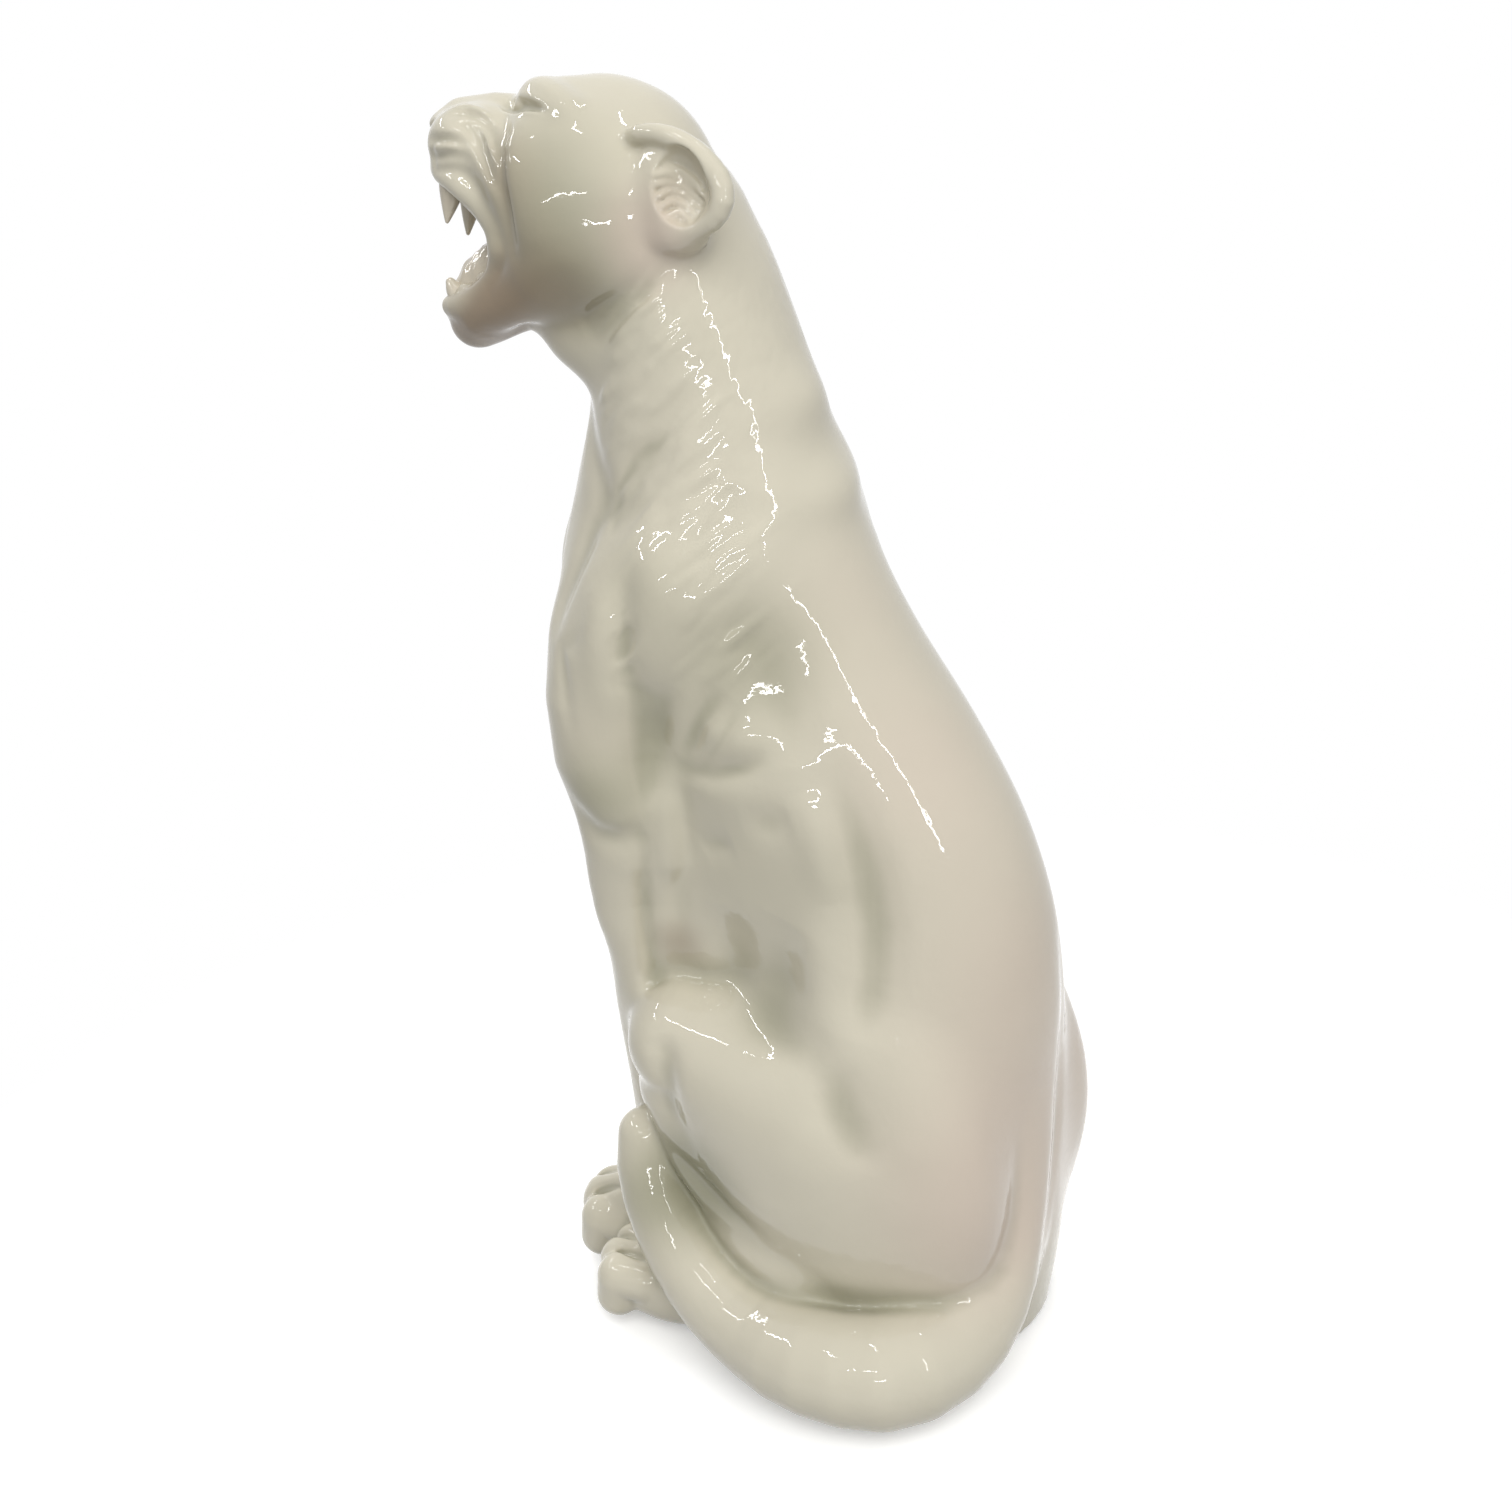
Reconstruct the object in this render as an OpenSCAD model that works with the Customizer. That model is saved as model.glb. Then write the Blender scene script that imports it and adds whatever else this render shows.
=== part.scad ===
// Seated roaring panther: a large hollow ceramic statue, slip cast in pieces that are luted together.
// Millimetres. The animal faces -Y, its left side is +X, and it rests on its bumpers at z = 0.

/* [Size] */
// overall height of the statue
height = 845; // [760:1:930]
// wall of the hollow castings
wall = 8; // [6:0.5:10]

/* [Head] */
// turn of the head to its own left, in degrees
head_turn = 24; // [14:1:28]
// tilt of the head with the left cheek up, in degrees
head_tilt = 11; // [5:1:14]
// how far the upper canines stand out of the lip
upper_canine = 25; // [18:1:30]
// how far the lower canines stand out of the lip
lower_canine = 14; // [10:1:18]
// radius of an ear
ear_r = 36; // [30:1:40]

/* [Body] */
// width of the trunk at the rump
rump_w = 208; // [196:1:220]
// thickness of a foreleg at the wrist
wrist_d = 56; // [48:1:60]
// thickness of the tail at its root
tail_d = 80; // [70:1:84]

/* [Base] */
// thickness of the plate that closes the trunk
plate_t = 10; // [7:0.5:14]
// vent hole through that plate
vent_d = 32; // [20:1:44]
// diameter of a bumper
bumper_d = 18; // [14:1:22]
// height of a bumper
bumper_h = 5; // [4:0.5:7]

/* [Hidden] */
$fn = 16;
k = height / 845;
glaze = [0.89, 0.86, 0.78];
ivory = [0.86, 0.82, 0.72];
rubber = [0.16, 0.16, 0.16];
plate_top = bumper_h + plate_t;
// named widths over the widths drawn below, which grow with the height
rw = rump_w / (208 * k);
// how far the hind legs stand out with the rump
hip_dx = (rump_w - 208 * k) / 2;
tw = tail_d / (80 * k);
// how far a cutting body reaches past the face it cuts
over = 1;
// the tail is cast thicker than the other castings by
tail_extra = 2;
// points round one section of the trunk
around = 26;
// steps between two stations
steps = 2;
// joint between trunk and neck
neck_z = k * 655;
head_at = k * [0, -60, 765];
// moves the middle of the base to the origin
middle = k * [-22, 8.5, 0];

// Stations up the trunk and neck: height, back, front, half width
trunk_low = [plate_top, k * 153, 0, k * 84 * rw];
trunk_mid = k * [
    [60, 163, -8, 98 * rw],
    [130, 170, -16, 104 * rw],
    [200, 175, -30, 102 * rw],
    [265, 177, -46, 98],
    [325, 171, -60, 93],
    [385, 153, -86, 92],
    [440, 127, -128, 94],
    [500, 90, -150, 93],
    [555, 60, -148, 86],
    [605, 45, -132, 77],
    [655, 29, -115, 70],
];
neck_up = k * [
    [655, 29, -115, 70],
    [700, 14, -114, 67],
    [745, -6, -114, 64],
    [780, -22, -112, 58],
];

// Ball chains: x, y, z, radius
arm = k * [
    [30, 6, 598, 26],
    [54, -26, 556, 42],
    [72, -79, 500, 43],
    [81, -83, 440, 39],
    [79, -68, 400, 37],
    [70, -82, 330, 35],
    [60, -92, 240, 32],
    [53, -97, 150, wrist_d / (2 * k)],
    [49, -101, 80, wrist_d / (2 * k)],
    [48, -106, 46, 31],
];
fore_paw = k * [
    [48, -106, 42, 32],
    [48, -148, 36, 29],
    [48, -170, 30, 22],
];
fore_sole = k * [
    [48, -106, 31, 29],
    [48, -152, 27, 25],
];
thigh = widened(k * [
    [72, 62, 235, 58],
    [88, 4, 250, 46],
    [95, -36, 246, 38],
    [99, 0, 165, 33],
    [100, 40, 95, 32],
    [99, 58, 56, 33],
]);
hind = widened(k * [
    [98, 46, 38, 32],
    [98, -20, 36, 29],
    [98, -76, 34, 28],
    [98, -112, 30, 24],
]);
hind_sole = widened(k * [
    [98, 40, 31, 29],
    [98, -100, 27, 25],
]);
tail_path = widened(k * [
    [0, 122, 240, 36],
    [0, 131, 170, 39],
    [2, 133, 104, 40],
    [24, 136, 56, 39],
    [76, 133, 43, 38],
    [127, 109, 42, 37],
    [143, 62, 41, 35],
    [136, 12, 42, 32],
    [122, -34, 58, 29],
    [110, -66, 90, 25],
    [100, -82, 126, 22],
    [94, -86, 150, 18],
]);

// Moves the points of a hind leg or of the tail out with the rump
function widened(p) = [
    for (q = p)
        [q[0] + hip_dx * min(1, q[0] / (k * 72)), q[1], q[2], q[3]],
];

// One point of a smooth curve through p1 and p2
function curve(p0, p1, p2, p3, t) =
    0.5 * (2 * p1 + (p2 - p0) * t + (2 * p0 - 5 * p1 + 4 * p2 - p3) * t * t
    + (3 * p1 - p0 - 3 * p2 + p3) * t * t * t);

// The whole curve, with n steps from each station to the next
function smooth(p, n) = [
    for (i = [0 : len(p) - 2])
        for (j = [0 : n - 1])
            curve(p[max(i - 1, 0)], p[i], p[i + 1], p[min(i + 2, len(p) - 1)], j / n),
    p[len(p) - 1],
];

// A section of the trunk: an ellipse between back and front, drawn in by the wall w
function section(st, w) = [
    for (i = [0 : around - 1])
        [
            (st[3] - w) * cos(360 * i / around),
            (st[1] + st[2]) / 2 + ((st[1] - st[2]) / 2 - w) * sin(360 * i / around),
            st[0],
        ],
];

// The faces between ring a and ring b
function band(a, b) = [
    for (i = [0 : around - 1])
        let (j = (i + 1) % around)
            [a * around + i, b * around + i, b * around + j, a * around + j],
];

function cap(a) = [for (i = [0 : around - 1]) a * around + i];

function turned(list) = [for (i = [len(list) - 1 : -1 : 0]) list[i]];

trunk = smooth(concat([trunk_low], trunk_mid), steps);
neck = smooth(neck_up, steps);

// A filled tube through the stations
module filled(stations, w) {
    rings = [for (st = stations) section(st, w)];
    n = len(rings);
    polyhedron(
        points = [for (r = rings) each r],
        faces = concat(
            [cap(0)],
            [for (i = [0 : n - 2]) each band(i, i + 1)],
            [turned(cap(n - 1))]
        ),
        convexity = 6
    );
}

// A tube with a wall, open at both ends
module tube(stations) {
    outer = [for (st = stations) section(st, 0)];
    inner = [for (st = stations) section(st, wall)];
    n = len(stations);
    polyhedron(
        points = concat([for (r = outer) each r], [for (r = inner) each r]),
        faces = concat(
            [for (i = [0 : n - 2]) each band(i, i + 1)],
            [for (i = [0 : n - 2]) each band(n + i + 1, n + i)],
            band(n - 1, 2 * n - 1),
            band(n, 0)
        ),
        convexity = 8
    );
}

module ball(p, w) {
    translate([p[0], p[1], p[2]])
        sphere(r = max(p[3] - w, 1));
}

module egg(at, r) {
    translate(k * at)
        scale(k * r)
            sphere(r = 1, $fn = 18);
}

// Balls along a path, hulled in pairs; w draws the surface in
module chain(p, w) {
    for (i = [0 : len(p) - 2])
        hull() {
            ball(p[i], w);
            ball(p[i + 1], w);
        }
}

module placed() {
    translate(middle)
        children();
}

module right_side() {
    mirror([1, 0, 0])
        children();
}

module head_frame() {
    translate(head_at)
        rotate([0, -head_tilt, head_turn])
            children();
}

// Everything below the soles is cut away
module floor_cut() {
    translate([-k * 400, -k * 400, bumper_h - k * 300])
        cube(k * [800, 800, 300]);
}

// The whole trunk as one filled body, for trimming the pieces luted to it
module trunk_body() {
    low = [bumper_h - over, trunk_low[1], trunk_low[2], trunk_low[3]];
    filled(concat([low], trunk), 0);
}

// Four toes of a paw centred on x
module toes(x, y, z, r) {
    for (i = [-1.5 : 1 : 1.5])
        hull() {
            translate(k * [x + i * r * 1.15, y, z])
                sphere(r = k * r, $fn = 10);
            translate(k * [x + i * r * 1.25, y - r * 1.5 + abs(i) * 4, z - r * 0.45])
                sphere(r = k * r * 0.8, $fn = 10);
        }
}

module shoulder(w) {
    translate(k * [50, -58, 510])
        rotate([-28, 0, 0])
            hull()
                egg([0, 0, 0], [48, 62, 84] - [1, 1, 1] * w / k);
}

module foreleg_body() {
    shoulder(0);
    chain(smooth(arm, steps), 0);
    chain(fore_paw, 0);
    chain(fore_sole, 0);
    toes(48, -166, 27, 12);
}

module hip(w) {
    translate([hip_dx, 0, 0])
        hull()
            egg([74, 52, 158], [53, 110, 126] - [1, 1, 1] * w / k);
}

module haunch_body() {
    hip(0);
    chain(smooth(thigh, steps), 0);
}

module hind_foot_body() {
    chain(hind, 0);
    chain(hind_sole, 0);
    translate([hip_dx, 0, 0])
        toes(98, -118, 26, 11);
}

// Neck, skull, cheeks and upper jaw as one filled body
module head_body() {
    filled(neck, 0);
    head_frame() {
        hull() {
            egg([0, -25, 8], [64, 67, 71]);
            egg([22, -56, 58], [22, 19, 19]);
            egg([-22, -56, 58], [22, 19, 19]);
        }
        for (side = [-1, 1]) {
            hull()
                egg([side * 42, -40, 2], [33, 48, 60]);
            hull() {
                egg([side * 19, -106, 46], [22, 26, 23]);
                egg([side * 36, -66, 30], [26, 26, 28]);
            }
        }
        hull() {
            egg([0, -66, 56], [24, 24, 24]);
            egg([0, -113, 58], [16, 16, 16]);
            egg([0, -124, 61], [12, 8, 8]);
        }
    }
}

// The hollow of neck and skull
module head_core() {
    low = [neck_z - over, neck[0][1], neck[0][2], neck[0][3]];
    filled(concat([low], neck), wall);
    head_frame()
        hull()
            egg([0, -25, 8], [64, 67, 71] - [1, 1, 1] * wall / k);
}

module mouth() {
    head_frame()
        hull() {
            egg([0, -106, -8], [34, 46, 30]);
            egg([0, -140, -14], [34, 30, 36]);
        }
}

module upper_mouth() {
    difference() {
        head_body();
        mouth();
    }
}

module jaw_body() {
    head_frame()
        difference() {
            union() {
                for (side = [-1, 1])
                    chain(k * [
                        [side * 38, -64, -36, 26],
                        [side * 30, -88, -47, 20],
                        [side * 18, -108, -53, 18],
                        [0, -115, -55, 17],
                    ], 0);
                hull() {
                    egg([24, -66, -50], [20, 20, 18]);
                    egg([-24, -66, -50], [20, 20, 18]);
                    egg([0, -108, -60], [18, 18, 12]);
                }
            }
            hull() {
                egg([0, -104, -26], [16, 12, 20]);
                egg([0, -70, -14], [30, 20, 26]);
            }
        }
}

module tongue_body() {
    for (i = [0 : 3])
        hull() {
            egg([0, -62 - 10 * i, -36 - 2 * i], [20 - 2 * i, 12, 9]);
            egg([0, -72 - 10 * i, -38 - 2 * i], [18 - 2 * i, 12, 9]);
        }
}

// A cupped ear: a rolled rim round a thin bowl
module ear_body() {
    for (i = [0 : 13])
        hull() {
            for (a = [-150 + 300 * i / 14, -150 + 300 * (i + 1) / 14])
                translate([k * 7, ear_r * 0.88 * cos(a), ear_r * sin(a)])
                    sphere(r = k * 6, $fn = 8);
            translate(k * [-1, 0, 0])
                sphere(r = k * 6, $fn = 8);
        }
}

module canine(x, y, top, length, r) {
    tip = top - length;
    chain(k * [
        [x, y + 4, top + 9, r],
        [x, y, top, r],
        [x, y - 3, (top + tip) / 2, r * 0.72],
        [x, y - 2, tip + r * 0.2, r * 0.2],
    ], 0, $fn = 10);
}

// A strip of six small front teeth along an arc
module incisors(y, z, half) {
    for (i = [-2.5 : 1 : 2.5])
        hull() {
            translate(k * [i * half / 2.5, y + i * i * 0.6, z])
                sphere(r = k * 3, $fn = 7);
            translate(k * [i * half / 2.5, y + 5 + i * i * 0.6, z + 6])
                sphere(r = k * 3.2, $fn = 7);
        }
}

module upper_fang(side) {
    placed()
        difference() {
            head_frame()
                canine(side * 22, -112, 27, upper_canine / k, 6.5);
            upper_mouth();
        }
}

module lower_fang(side) {
    placed()
        difference() {
            head_frame()
                mirror([0, 0, 1])
                    canine(side * 17, -116, 42, lower_canine / k, 5);
            jaw_body();
        }
}

module foreleg() {
    difference() {
        foreleg_body();
        chain([for (i = [1 : 7]) arm[i]], wall, $fn = 10);
        shoulder(wall);
        trunk_body();
        floor_cut();
    }
}

module haunch() {
    difference() {
        haunch_body();
        hip(wall);
        trunk_body();
        foreleg_body();
        floor_cut();
    }
}

module hind_foot() {
    difference() {
        hind_foot_body();
        trunk_body();
        haunch_body();
        foreleg_body();
        floor_cut();
    }
}

module torso_casting() {
    color(glaze)
        placed()
            tube(trunk);
}

module head_casting() {
    color(glaze)
        placed()
            difference() {
                head_body();
                head_core();
                mouth();
            }
}

module lower_jaw() {
    color(glaze)
        placed()
            difference() {
                jaw_body();
                head_body();
            }
}

module tongue() {
    color(ivory)
        placed()
            difference() {
                head_frame()
                    tongue_body();
                head_body();
                jaw_body();
            }
}

module left_ear() {
    color(glaze)
        placed()
            difference() {
                head_frame()
                    translate(k * [66, 20, 4])
                        rotate([0, 0, -18])
                            ear_body();
                head_body();
            }
}

module right_ear() {
    color(glaze)
        placed()
            difference() {
                head_frame()
                    translate(k * [-64, 10, 4])
                        rotate([0, 0, 14])
                            right_side()
                                ear_body();
                head_body();
            }
}

module upper_left_canine() {
    color(ivory)
        upper_fang(1);
}

module upper_right_canine() {
    color(ivory)
        upper_fang(-1);
}

module lower_left_canine() {
    color(ivory)
        lower_fang(1);
}

module lower_right_canine() {
    color(ivory)
        lower_fang(-1);
}

module upper_incisors() {
    color(ivory)
        placed()
            difference() {
                head_frame()
                    incisors(-121, 21, 12);
                upper_mouth();
            }
}

module lower_incisors() {
    color(ivory)
        placed()
            difference() {
                head_frame()
                    mirror([0, 0, 1])
                        incisors(-126, 34, 9);
                jaw_body();
            }
}

module left_foreleg() {
    color(glaze)
        placed()
            foreleg();
}

module right_foreleg() {
    color(glaze)
        placed()
            right_side()
                foreleg();
}

module left_haunch() {
    color(glaze)
        placed()
            haunch();
}

module right_haunch() {
    color(glaze)
        placed()
            right_side()
                haunch();
}

module left_hind_foot() {
    color(glaze)
        placed()
            hind_foot();
}

module right_hind_foot() {
    color(glaze)
        placed()
            right_side()
                hind_foot();
}

module tail() {
    thick = [for (p = smooth(tail_path, steps)) [p[0], p[1], p[2], p[3] * tw]];
    core = [for (p = tail_path) [p[0], p[1], p[2], p[3] * tw]];
    color(glaze)
        placed()
            difference() {
                chain(thick, 0);
                chain([for (i = [2 : 8]) core[i]], wall + tail_extra, $fn = 8);
                trunk_body();
                haunch_body();
                right_side()
                    haunch_body();
                foreleg_body();
                hind_foot_body();
                floor_cut();
            }
}

module base_plate() {
    color(glaze)
        placed()
            translate([0, 0, bumper_h])
                difference() {
                    linear_extrude(height = plate_t)
                        polygon([for (p = section(trunk_low, 0)) [p[0], p[1]]]);
                    translate([0, k * 77, -over])
                        cylinder(d = vent_d, h = plate_t + 2 * over);
                }
}

module bumper_feet() {
    color(rubber)
        placed()
            for (at = [k * [48, -124], k * [98, -74] + [hip_dx, 0], k * [52, 112]])
                for (side = [-1, 1])
                    translate([side * at[0], at[1], 0])
                        cylinder(d = bumper_d, h = bumper_h, $fn = 32);
}

torso_casting();
head_casting();
lower_jaw();
tongue();
left_ear();
right_ear();
upper_left_canine();
upper_right_canine();
lower_left_canine();
lower_right_canine();
upper_incisors();
lower_incisors();
left_foreleg();
right_foreleg();
left_haunch();
right_haunch();
left_hind_foot();
right_hind_foot();
tail();
base_plate();
bumper_feet();
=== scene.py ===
# %% [markdown]
# # A roaring panther in glazed ceramic
# The real statue is slip cast in a dozen plaster moulds, luted together and glazed all over. The packed
# solids are loaded first. They fix the size and place of every casting, and each piece made below stands
# for one of them.

# %% Load the frame
import math
import bpy
import bmesh
import numpy as np
from mathutils import Matrix, Vector


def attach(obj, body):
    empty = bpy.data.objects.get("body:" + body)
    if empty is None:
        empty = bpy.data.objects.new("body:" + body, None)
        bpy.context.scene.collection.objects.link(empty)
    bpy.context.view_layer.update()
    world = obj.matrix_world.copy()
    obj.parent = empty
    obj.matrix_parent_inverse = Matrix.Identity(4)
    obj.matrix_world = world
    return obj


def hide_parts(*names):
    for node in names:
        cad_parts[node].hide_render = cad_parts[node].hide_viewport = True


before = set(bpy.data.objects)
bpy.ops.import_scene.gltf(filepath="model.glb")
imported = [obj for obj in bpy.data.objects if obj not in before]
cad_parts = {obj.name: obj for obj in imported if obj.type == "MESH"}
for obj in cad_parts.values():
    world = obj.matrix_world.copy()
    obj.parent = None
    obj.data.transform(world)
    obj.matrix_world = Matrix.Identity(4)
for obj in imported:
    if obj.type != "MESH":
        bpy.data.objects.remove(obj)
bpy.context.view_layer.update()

# %% [markdown]
# ## Where the photographer stood
# The statue is seen from behind its left shoulder and from above. Only the camera's place, its aim, a small
# tilt and the lens are needed. All numbers are millimetres from the point between the paws and the tail, as
# a sculptor would measure them, and MIDDLE moves them to the middle of the frame.

# %% Camera
MM = 0.001
MIDDLE = np.array([-22, 8.5, 0])
CAMERA_AT = (1056.1, 682.0, 949.5)
CAMERA_AIM = (13.7, -20.3, 413.8)
CAMERA_TILT = math.radians(-5.94)
FOCAL_LENGTH = 49.02
SENSOR_WIDTH = 36


def placed(point):
    """A point in the sculptor's millimetres, in metres in the frame."""
    return Vector((np.array(point, float) + MIDDLE) * MM)


def put(name, data):
    """An object that shows a mesh, a lens or a lamp, linked to the scene."""
    thing = bpy.data.objects.new(name, data)
    bpy.context.scene.collection.objects.link(thing)
    return thing


eye, aim = placed(CAMERA_AT), placed(CAMERA_AIM)
forward = (aim - eye).normalized()
level_right = forward.cross(Vector((0, 0, 1))).normalized()
level_up = level_right.cross(forward)
right = level_right * math.cos(CAMERA_TILT) + level_up * math.sin(CAMERA_TILT)
up = right.cross(forward)
lens = bpy.data.cameras.new("photo_lens")
lens.sensor_width = SENSOR_WIDTH
lens.lens = FOCAL_LENGTH
camera = put("photo_camera", lens)
camera.matrix_world = Matrix((
    (right.x, up.x, -forward.x, eye.x),
    (right.y, up.y, -forward.y, eye.y),
    (right.z, up.z, -forward.z, eye.z),
    (0, 0, 0, 1),
))
bpy.context.scene.camera = camera
print("camera", round((aim - eye).length, 3), "m from its aim")

# %% [markdown]
# ## Clay made of distances
# The animal has no edge or flat anywhere, so neither boxes nor bevels help. A sculptor adds lumps of clay
# and smears them into each other, and the same can be done with a block of numbers: every point of a grid
# holds its distance to the surface, below zero inside. Adding a lump is taking the lower of two distances,
# and a smooth lower value is the smear of a thumb.

# %% Smearing and smooth curves
def smooth_min(a, b, blend):
    """The lower of two distances, rounded off where they are within blend of each other."""
    if blend <= 0:
        return np.minimum(a, b)
    near = np.maximum(blend - np.abs(a - b), 0) / blend
    return np.minimum(a, b) - near * near * blend / 4


def along(places, stations, values):
    """A smooth curve through values at stations, read at places."""
    slope = np.gradient(values, stations, axis=0)
    i = np.clip(np.searchsorted(stations, places) - 1, 0, len(stations) - 2)
    h = stations[i + 1] - stations[i]
    s = np.clip((places - stations[i]) / h, 0, 1)
    start = (2 * s**3 - 3 * s**2 + 1) * values[i] + (s**3 - 2 * s**2 + s) * h * slope[i]
    end = (3 * s**2 - 2 * s**3) * values[i + 1] + (s**3 - s**2) * h * slope[i + 1]
    return start + end


def turn_matrix(degrees):
    """Rotation about X, then Y, then Z, as the solids use it."""
    (cx, cy, cz), (sx, sy, sz) = np.cos(np.radians(degrees)), np.sin(np.radians(degrees))
    about_x = np.array([[1, 0, 0], [0, cx, -sx], [0, sx, cx]])
    about_y = np.array([[cy, 0, sy], [0, 1, 0], [-sy, 0, cy]])
    about_z = np.array([[cz, -sz, 0], [sz, cz, 0], [0, 0, 1]])
    return about_z @ about_y @ about_x


print("two lumps 2 mm apart, smeared over 8 mm:", smooth_min(np.array(1.0), np.array(3.0), 8))

# %% The block of clay
FAR_OFF = 60


class Clay:
    """A block of distances in millimetres: below zero inside the animal, above zero outside."""

    def __init__(self, low, high, cell):
        self.low = np.array(low, float)
        self.cell = cell
        self.count = np.ceil((np.array(high) - self.low) / cell - 1e-6).astype(int) + 1
        self.axes = [
            (self.low[i] + cell * np.arange(self.count[i])).astype(np.float32)
            for i in range(3)
        ]
        self.far = np.full(self.count, FAR_OFF, np.float32)
        self.nearest = self.far.copy()
        self.owner = np.zeros(self.count, np.int8)

    def window(self, low, high):
        """The part of the block between two corners, and the coordinates of its points."""
        a = np.floor((np.array(low) - self.low) / self.cell).astype(int)
        b = np.ceil((np.array(high) - self.low) / self.cell).astype(int) + 1
        a, b = np.clip(a, 0, self.count), np.clip(b, 0, self.count)
        if (b <= a).any():
            return None, None
        part = tuple(slice(i, j) for i, j in zip(a, b))
        points = np.meshgrid(*[ax[s] for ax, s in zip(self.axes, part)], indexing="ij", sparse=True)
        return part, points

    def add(self, part, distance, blend, casting):
        """Smears a lump into the clay and notes which casting it belongs to."""
        distance = distance.astype(np.float32)
        closer = distance < self.nearest[part]
        self.owner[part][closer] = casting
        self.nearest[part] = np.minimum(self.nearest[part], distance)
        self.far[part] = smooth_min(self.far[part], distance, blend)

    def cut(self, part, distance, blend):
        self.far[part] = -smooth_min(-self.far[part], distance.astype(np.float32), blend)

    def push(self, part, amount):
        """Raises the surface by amount, or presses it in where amount is negative."""
        self.far[part] -= amount.astype(np.float32)

    def read(self, grid, points):
        """A grid's value at any points, mixed from the eight corners round each."""
        u = np.clip((points - self.low) / self.cell, 0, self.count - 1.001)
        i = u.astype(int)
        t = u - i
        total = 0
        for corner in np.ndindex(2, 2, 2):
            share = np.prod(np.where(corner, t, 1 - t), axis=1)
            total = total + share * grid[tuple((i + corner).T)]
        return total

    def slope(self, points, step):
        """The direction in which the distance grows fastest: the way the surface faces."""
        moves = np.eye(3) * step
        both = [self.read(self.far, points + m) - self.read(self.far, points - m) for m in moves]
        return np.stack(both, 1) / (2 * step)


print("a block of clay is ready for lumps")

# %% [markdown]
# ## Two kinds of lump
# Nearly all of an animal is made of limbs and eggs. A limb is a string of balls with cones round them, like
# sausages of clay on a wire. An egg is a stretched ball, turned any way. Each is seated either on the body
# or on the head, which has its own axes because it is turned to the left and tilted. Left and right are
# mirrored.

# %% Distance to a limb and to an egg
def cone_distance(points, a, b, ra, rb):
    """Distance to two balls and the cone that wraps them."""
    ba = b - a
    length2 = float(ba @ ba)
    step = ra - rb
    side2 = max(length2 - step * step, 1e-6)
    px, py, pz = (points[i] - a[i] for i in range(3))
    t = px * ba[0] + py * ba[1] + pz * ba[2]
    past = t - length2
    off2 = (
        (px * length2 - ba[0] * t) ** 2
        + (py * length2 - ba[1] * t) ** 2
        + (pz * length2 - ba[2] * t) ** 2
    )
    t2, past2 = t * t * length2, past * past * length2
    tip = np.sign(step) * step * step * off2
    at_b = np.sqrt(off2 + past2) / length2 - rb
    at_a = np.sqrt(off2 + t2) / length2 - ra
    between = (np.sqrt(off2 * side2 / length2) + t * step) / length2 - ra
    return np.where(
        np.sign(past) * side2 * past2 > tip,
        at_b,
        np.where(np.sign(t) * side2 * t2 < tip, at_a, between),
    )


def own_axes(points, centre, turn):
    """The points measured from centre along axes turned with a lump."""
    d = [points[i] - centre[i] for i in range(3)]
    return [turn[0, i] * d[0] + turn[1, i] * d[1] + turn[2, i] * d[2] for i in range(3)]


def egg_distance(points, centre, radii, turn):
    q = own_axes(points, centre, turn)
    level = np.sqrt(sum((q[i] / radii[i]) ** 2 for i in range(3)))
    slope = np.sqrt(sum((q[i] / radii[i] ** 2) ** 2 for i in range(3)))
    return level * (level - 1) / np.maximum(slope, 1e-6)


# %% Left, right and the head's own axes
CASTINGS = [
    "torso_casting", "head_casting", "lower_jaw", "left_ear", "right_ear",
    "left_foreleg", "right_foreleg", "left_haunch", "right_haunch",
    "left_hind_foot", "right_hind_foot", "tail",
]
SIDES = (1, -1)
HEAD_AT = np.array([0, -60, 765.0])
HEAD_TO_LEFT = 24
HEAD_TURN = turn_matrix((0, -11, HEAD_TO_LEFT))
NO_TURN = (0, 0, 0)


def of_side(name, side):
    return ("left_" if side > 0 else "right_") + name


def seat(point, side, head):
    """A point of the left side of the body or head in the statue's frame, mirrored if side is -1."""
    p = np.array([side * point[0], point[1], point[2]], float)
    return HEAD_AT + HEAD_TURN @ p if head else p


def seat_turn(turn, side, head):
    flip = np.diag([side, 1, 1])
    turned = flip @ turn_matrix(turn) @ flip
    return HEAD_TURN @ turned if head else turned


print("the head is turned", HEAD_TO_LEFT, "degrees to the left of the chest")

# %% Lumps, hollows, muscles and tool lines
SPARE_ROOM = 6
SWELL_REACH = 2.4
TOOL_REACH = 2.6
TOOL_ENDS = 0.04
TOOL_FADE = 0.8


def spread(path, rings):
    """More stations on a smooth curve through a path."""
    path = np.array(path, float)
    if not rings:
        return path
    steps = np.linalg.norm(np.diff(path[:, :3], axis=0), axis=1)
    run = np.concatenate([[0], np.cumsum(steps)])
    places = np.linspace(0, run[-1], rings)
    return np.stack([along(places, run, path[:, i]) for i in range(path.shape[1])], 1)


def tube(clay, path, blend, casting, side=1, head=False, rings=0):
    """Balls strung on a path, wrapped by cones, then smeared into the clay once."""
    balls = spread(path, rings)
    centres = np.array([seat(b, side, head) for b in balls])
    radii = balls[:, 3]
    reach = radii.max() + blend + SPARE_ROOM
    part, points = clay.window(centres.min(0) - reach, centres.max(0) + reach)
    if part is None:
        return
    distance = None
    for a, b, ra, rb in zip(centres[:-1], centres[1:], radii[:-1], radii[1:]):
        one = cone_distance(points, a, b, ra, rb)
        distance = one if distance is None else np.minimum(distance, one)
    clay.add(part, distance, blend, CASTINGS.index(casting))


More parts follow.
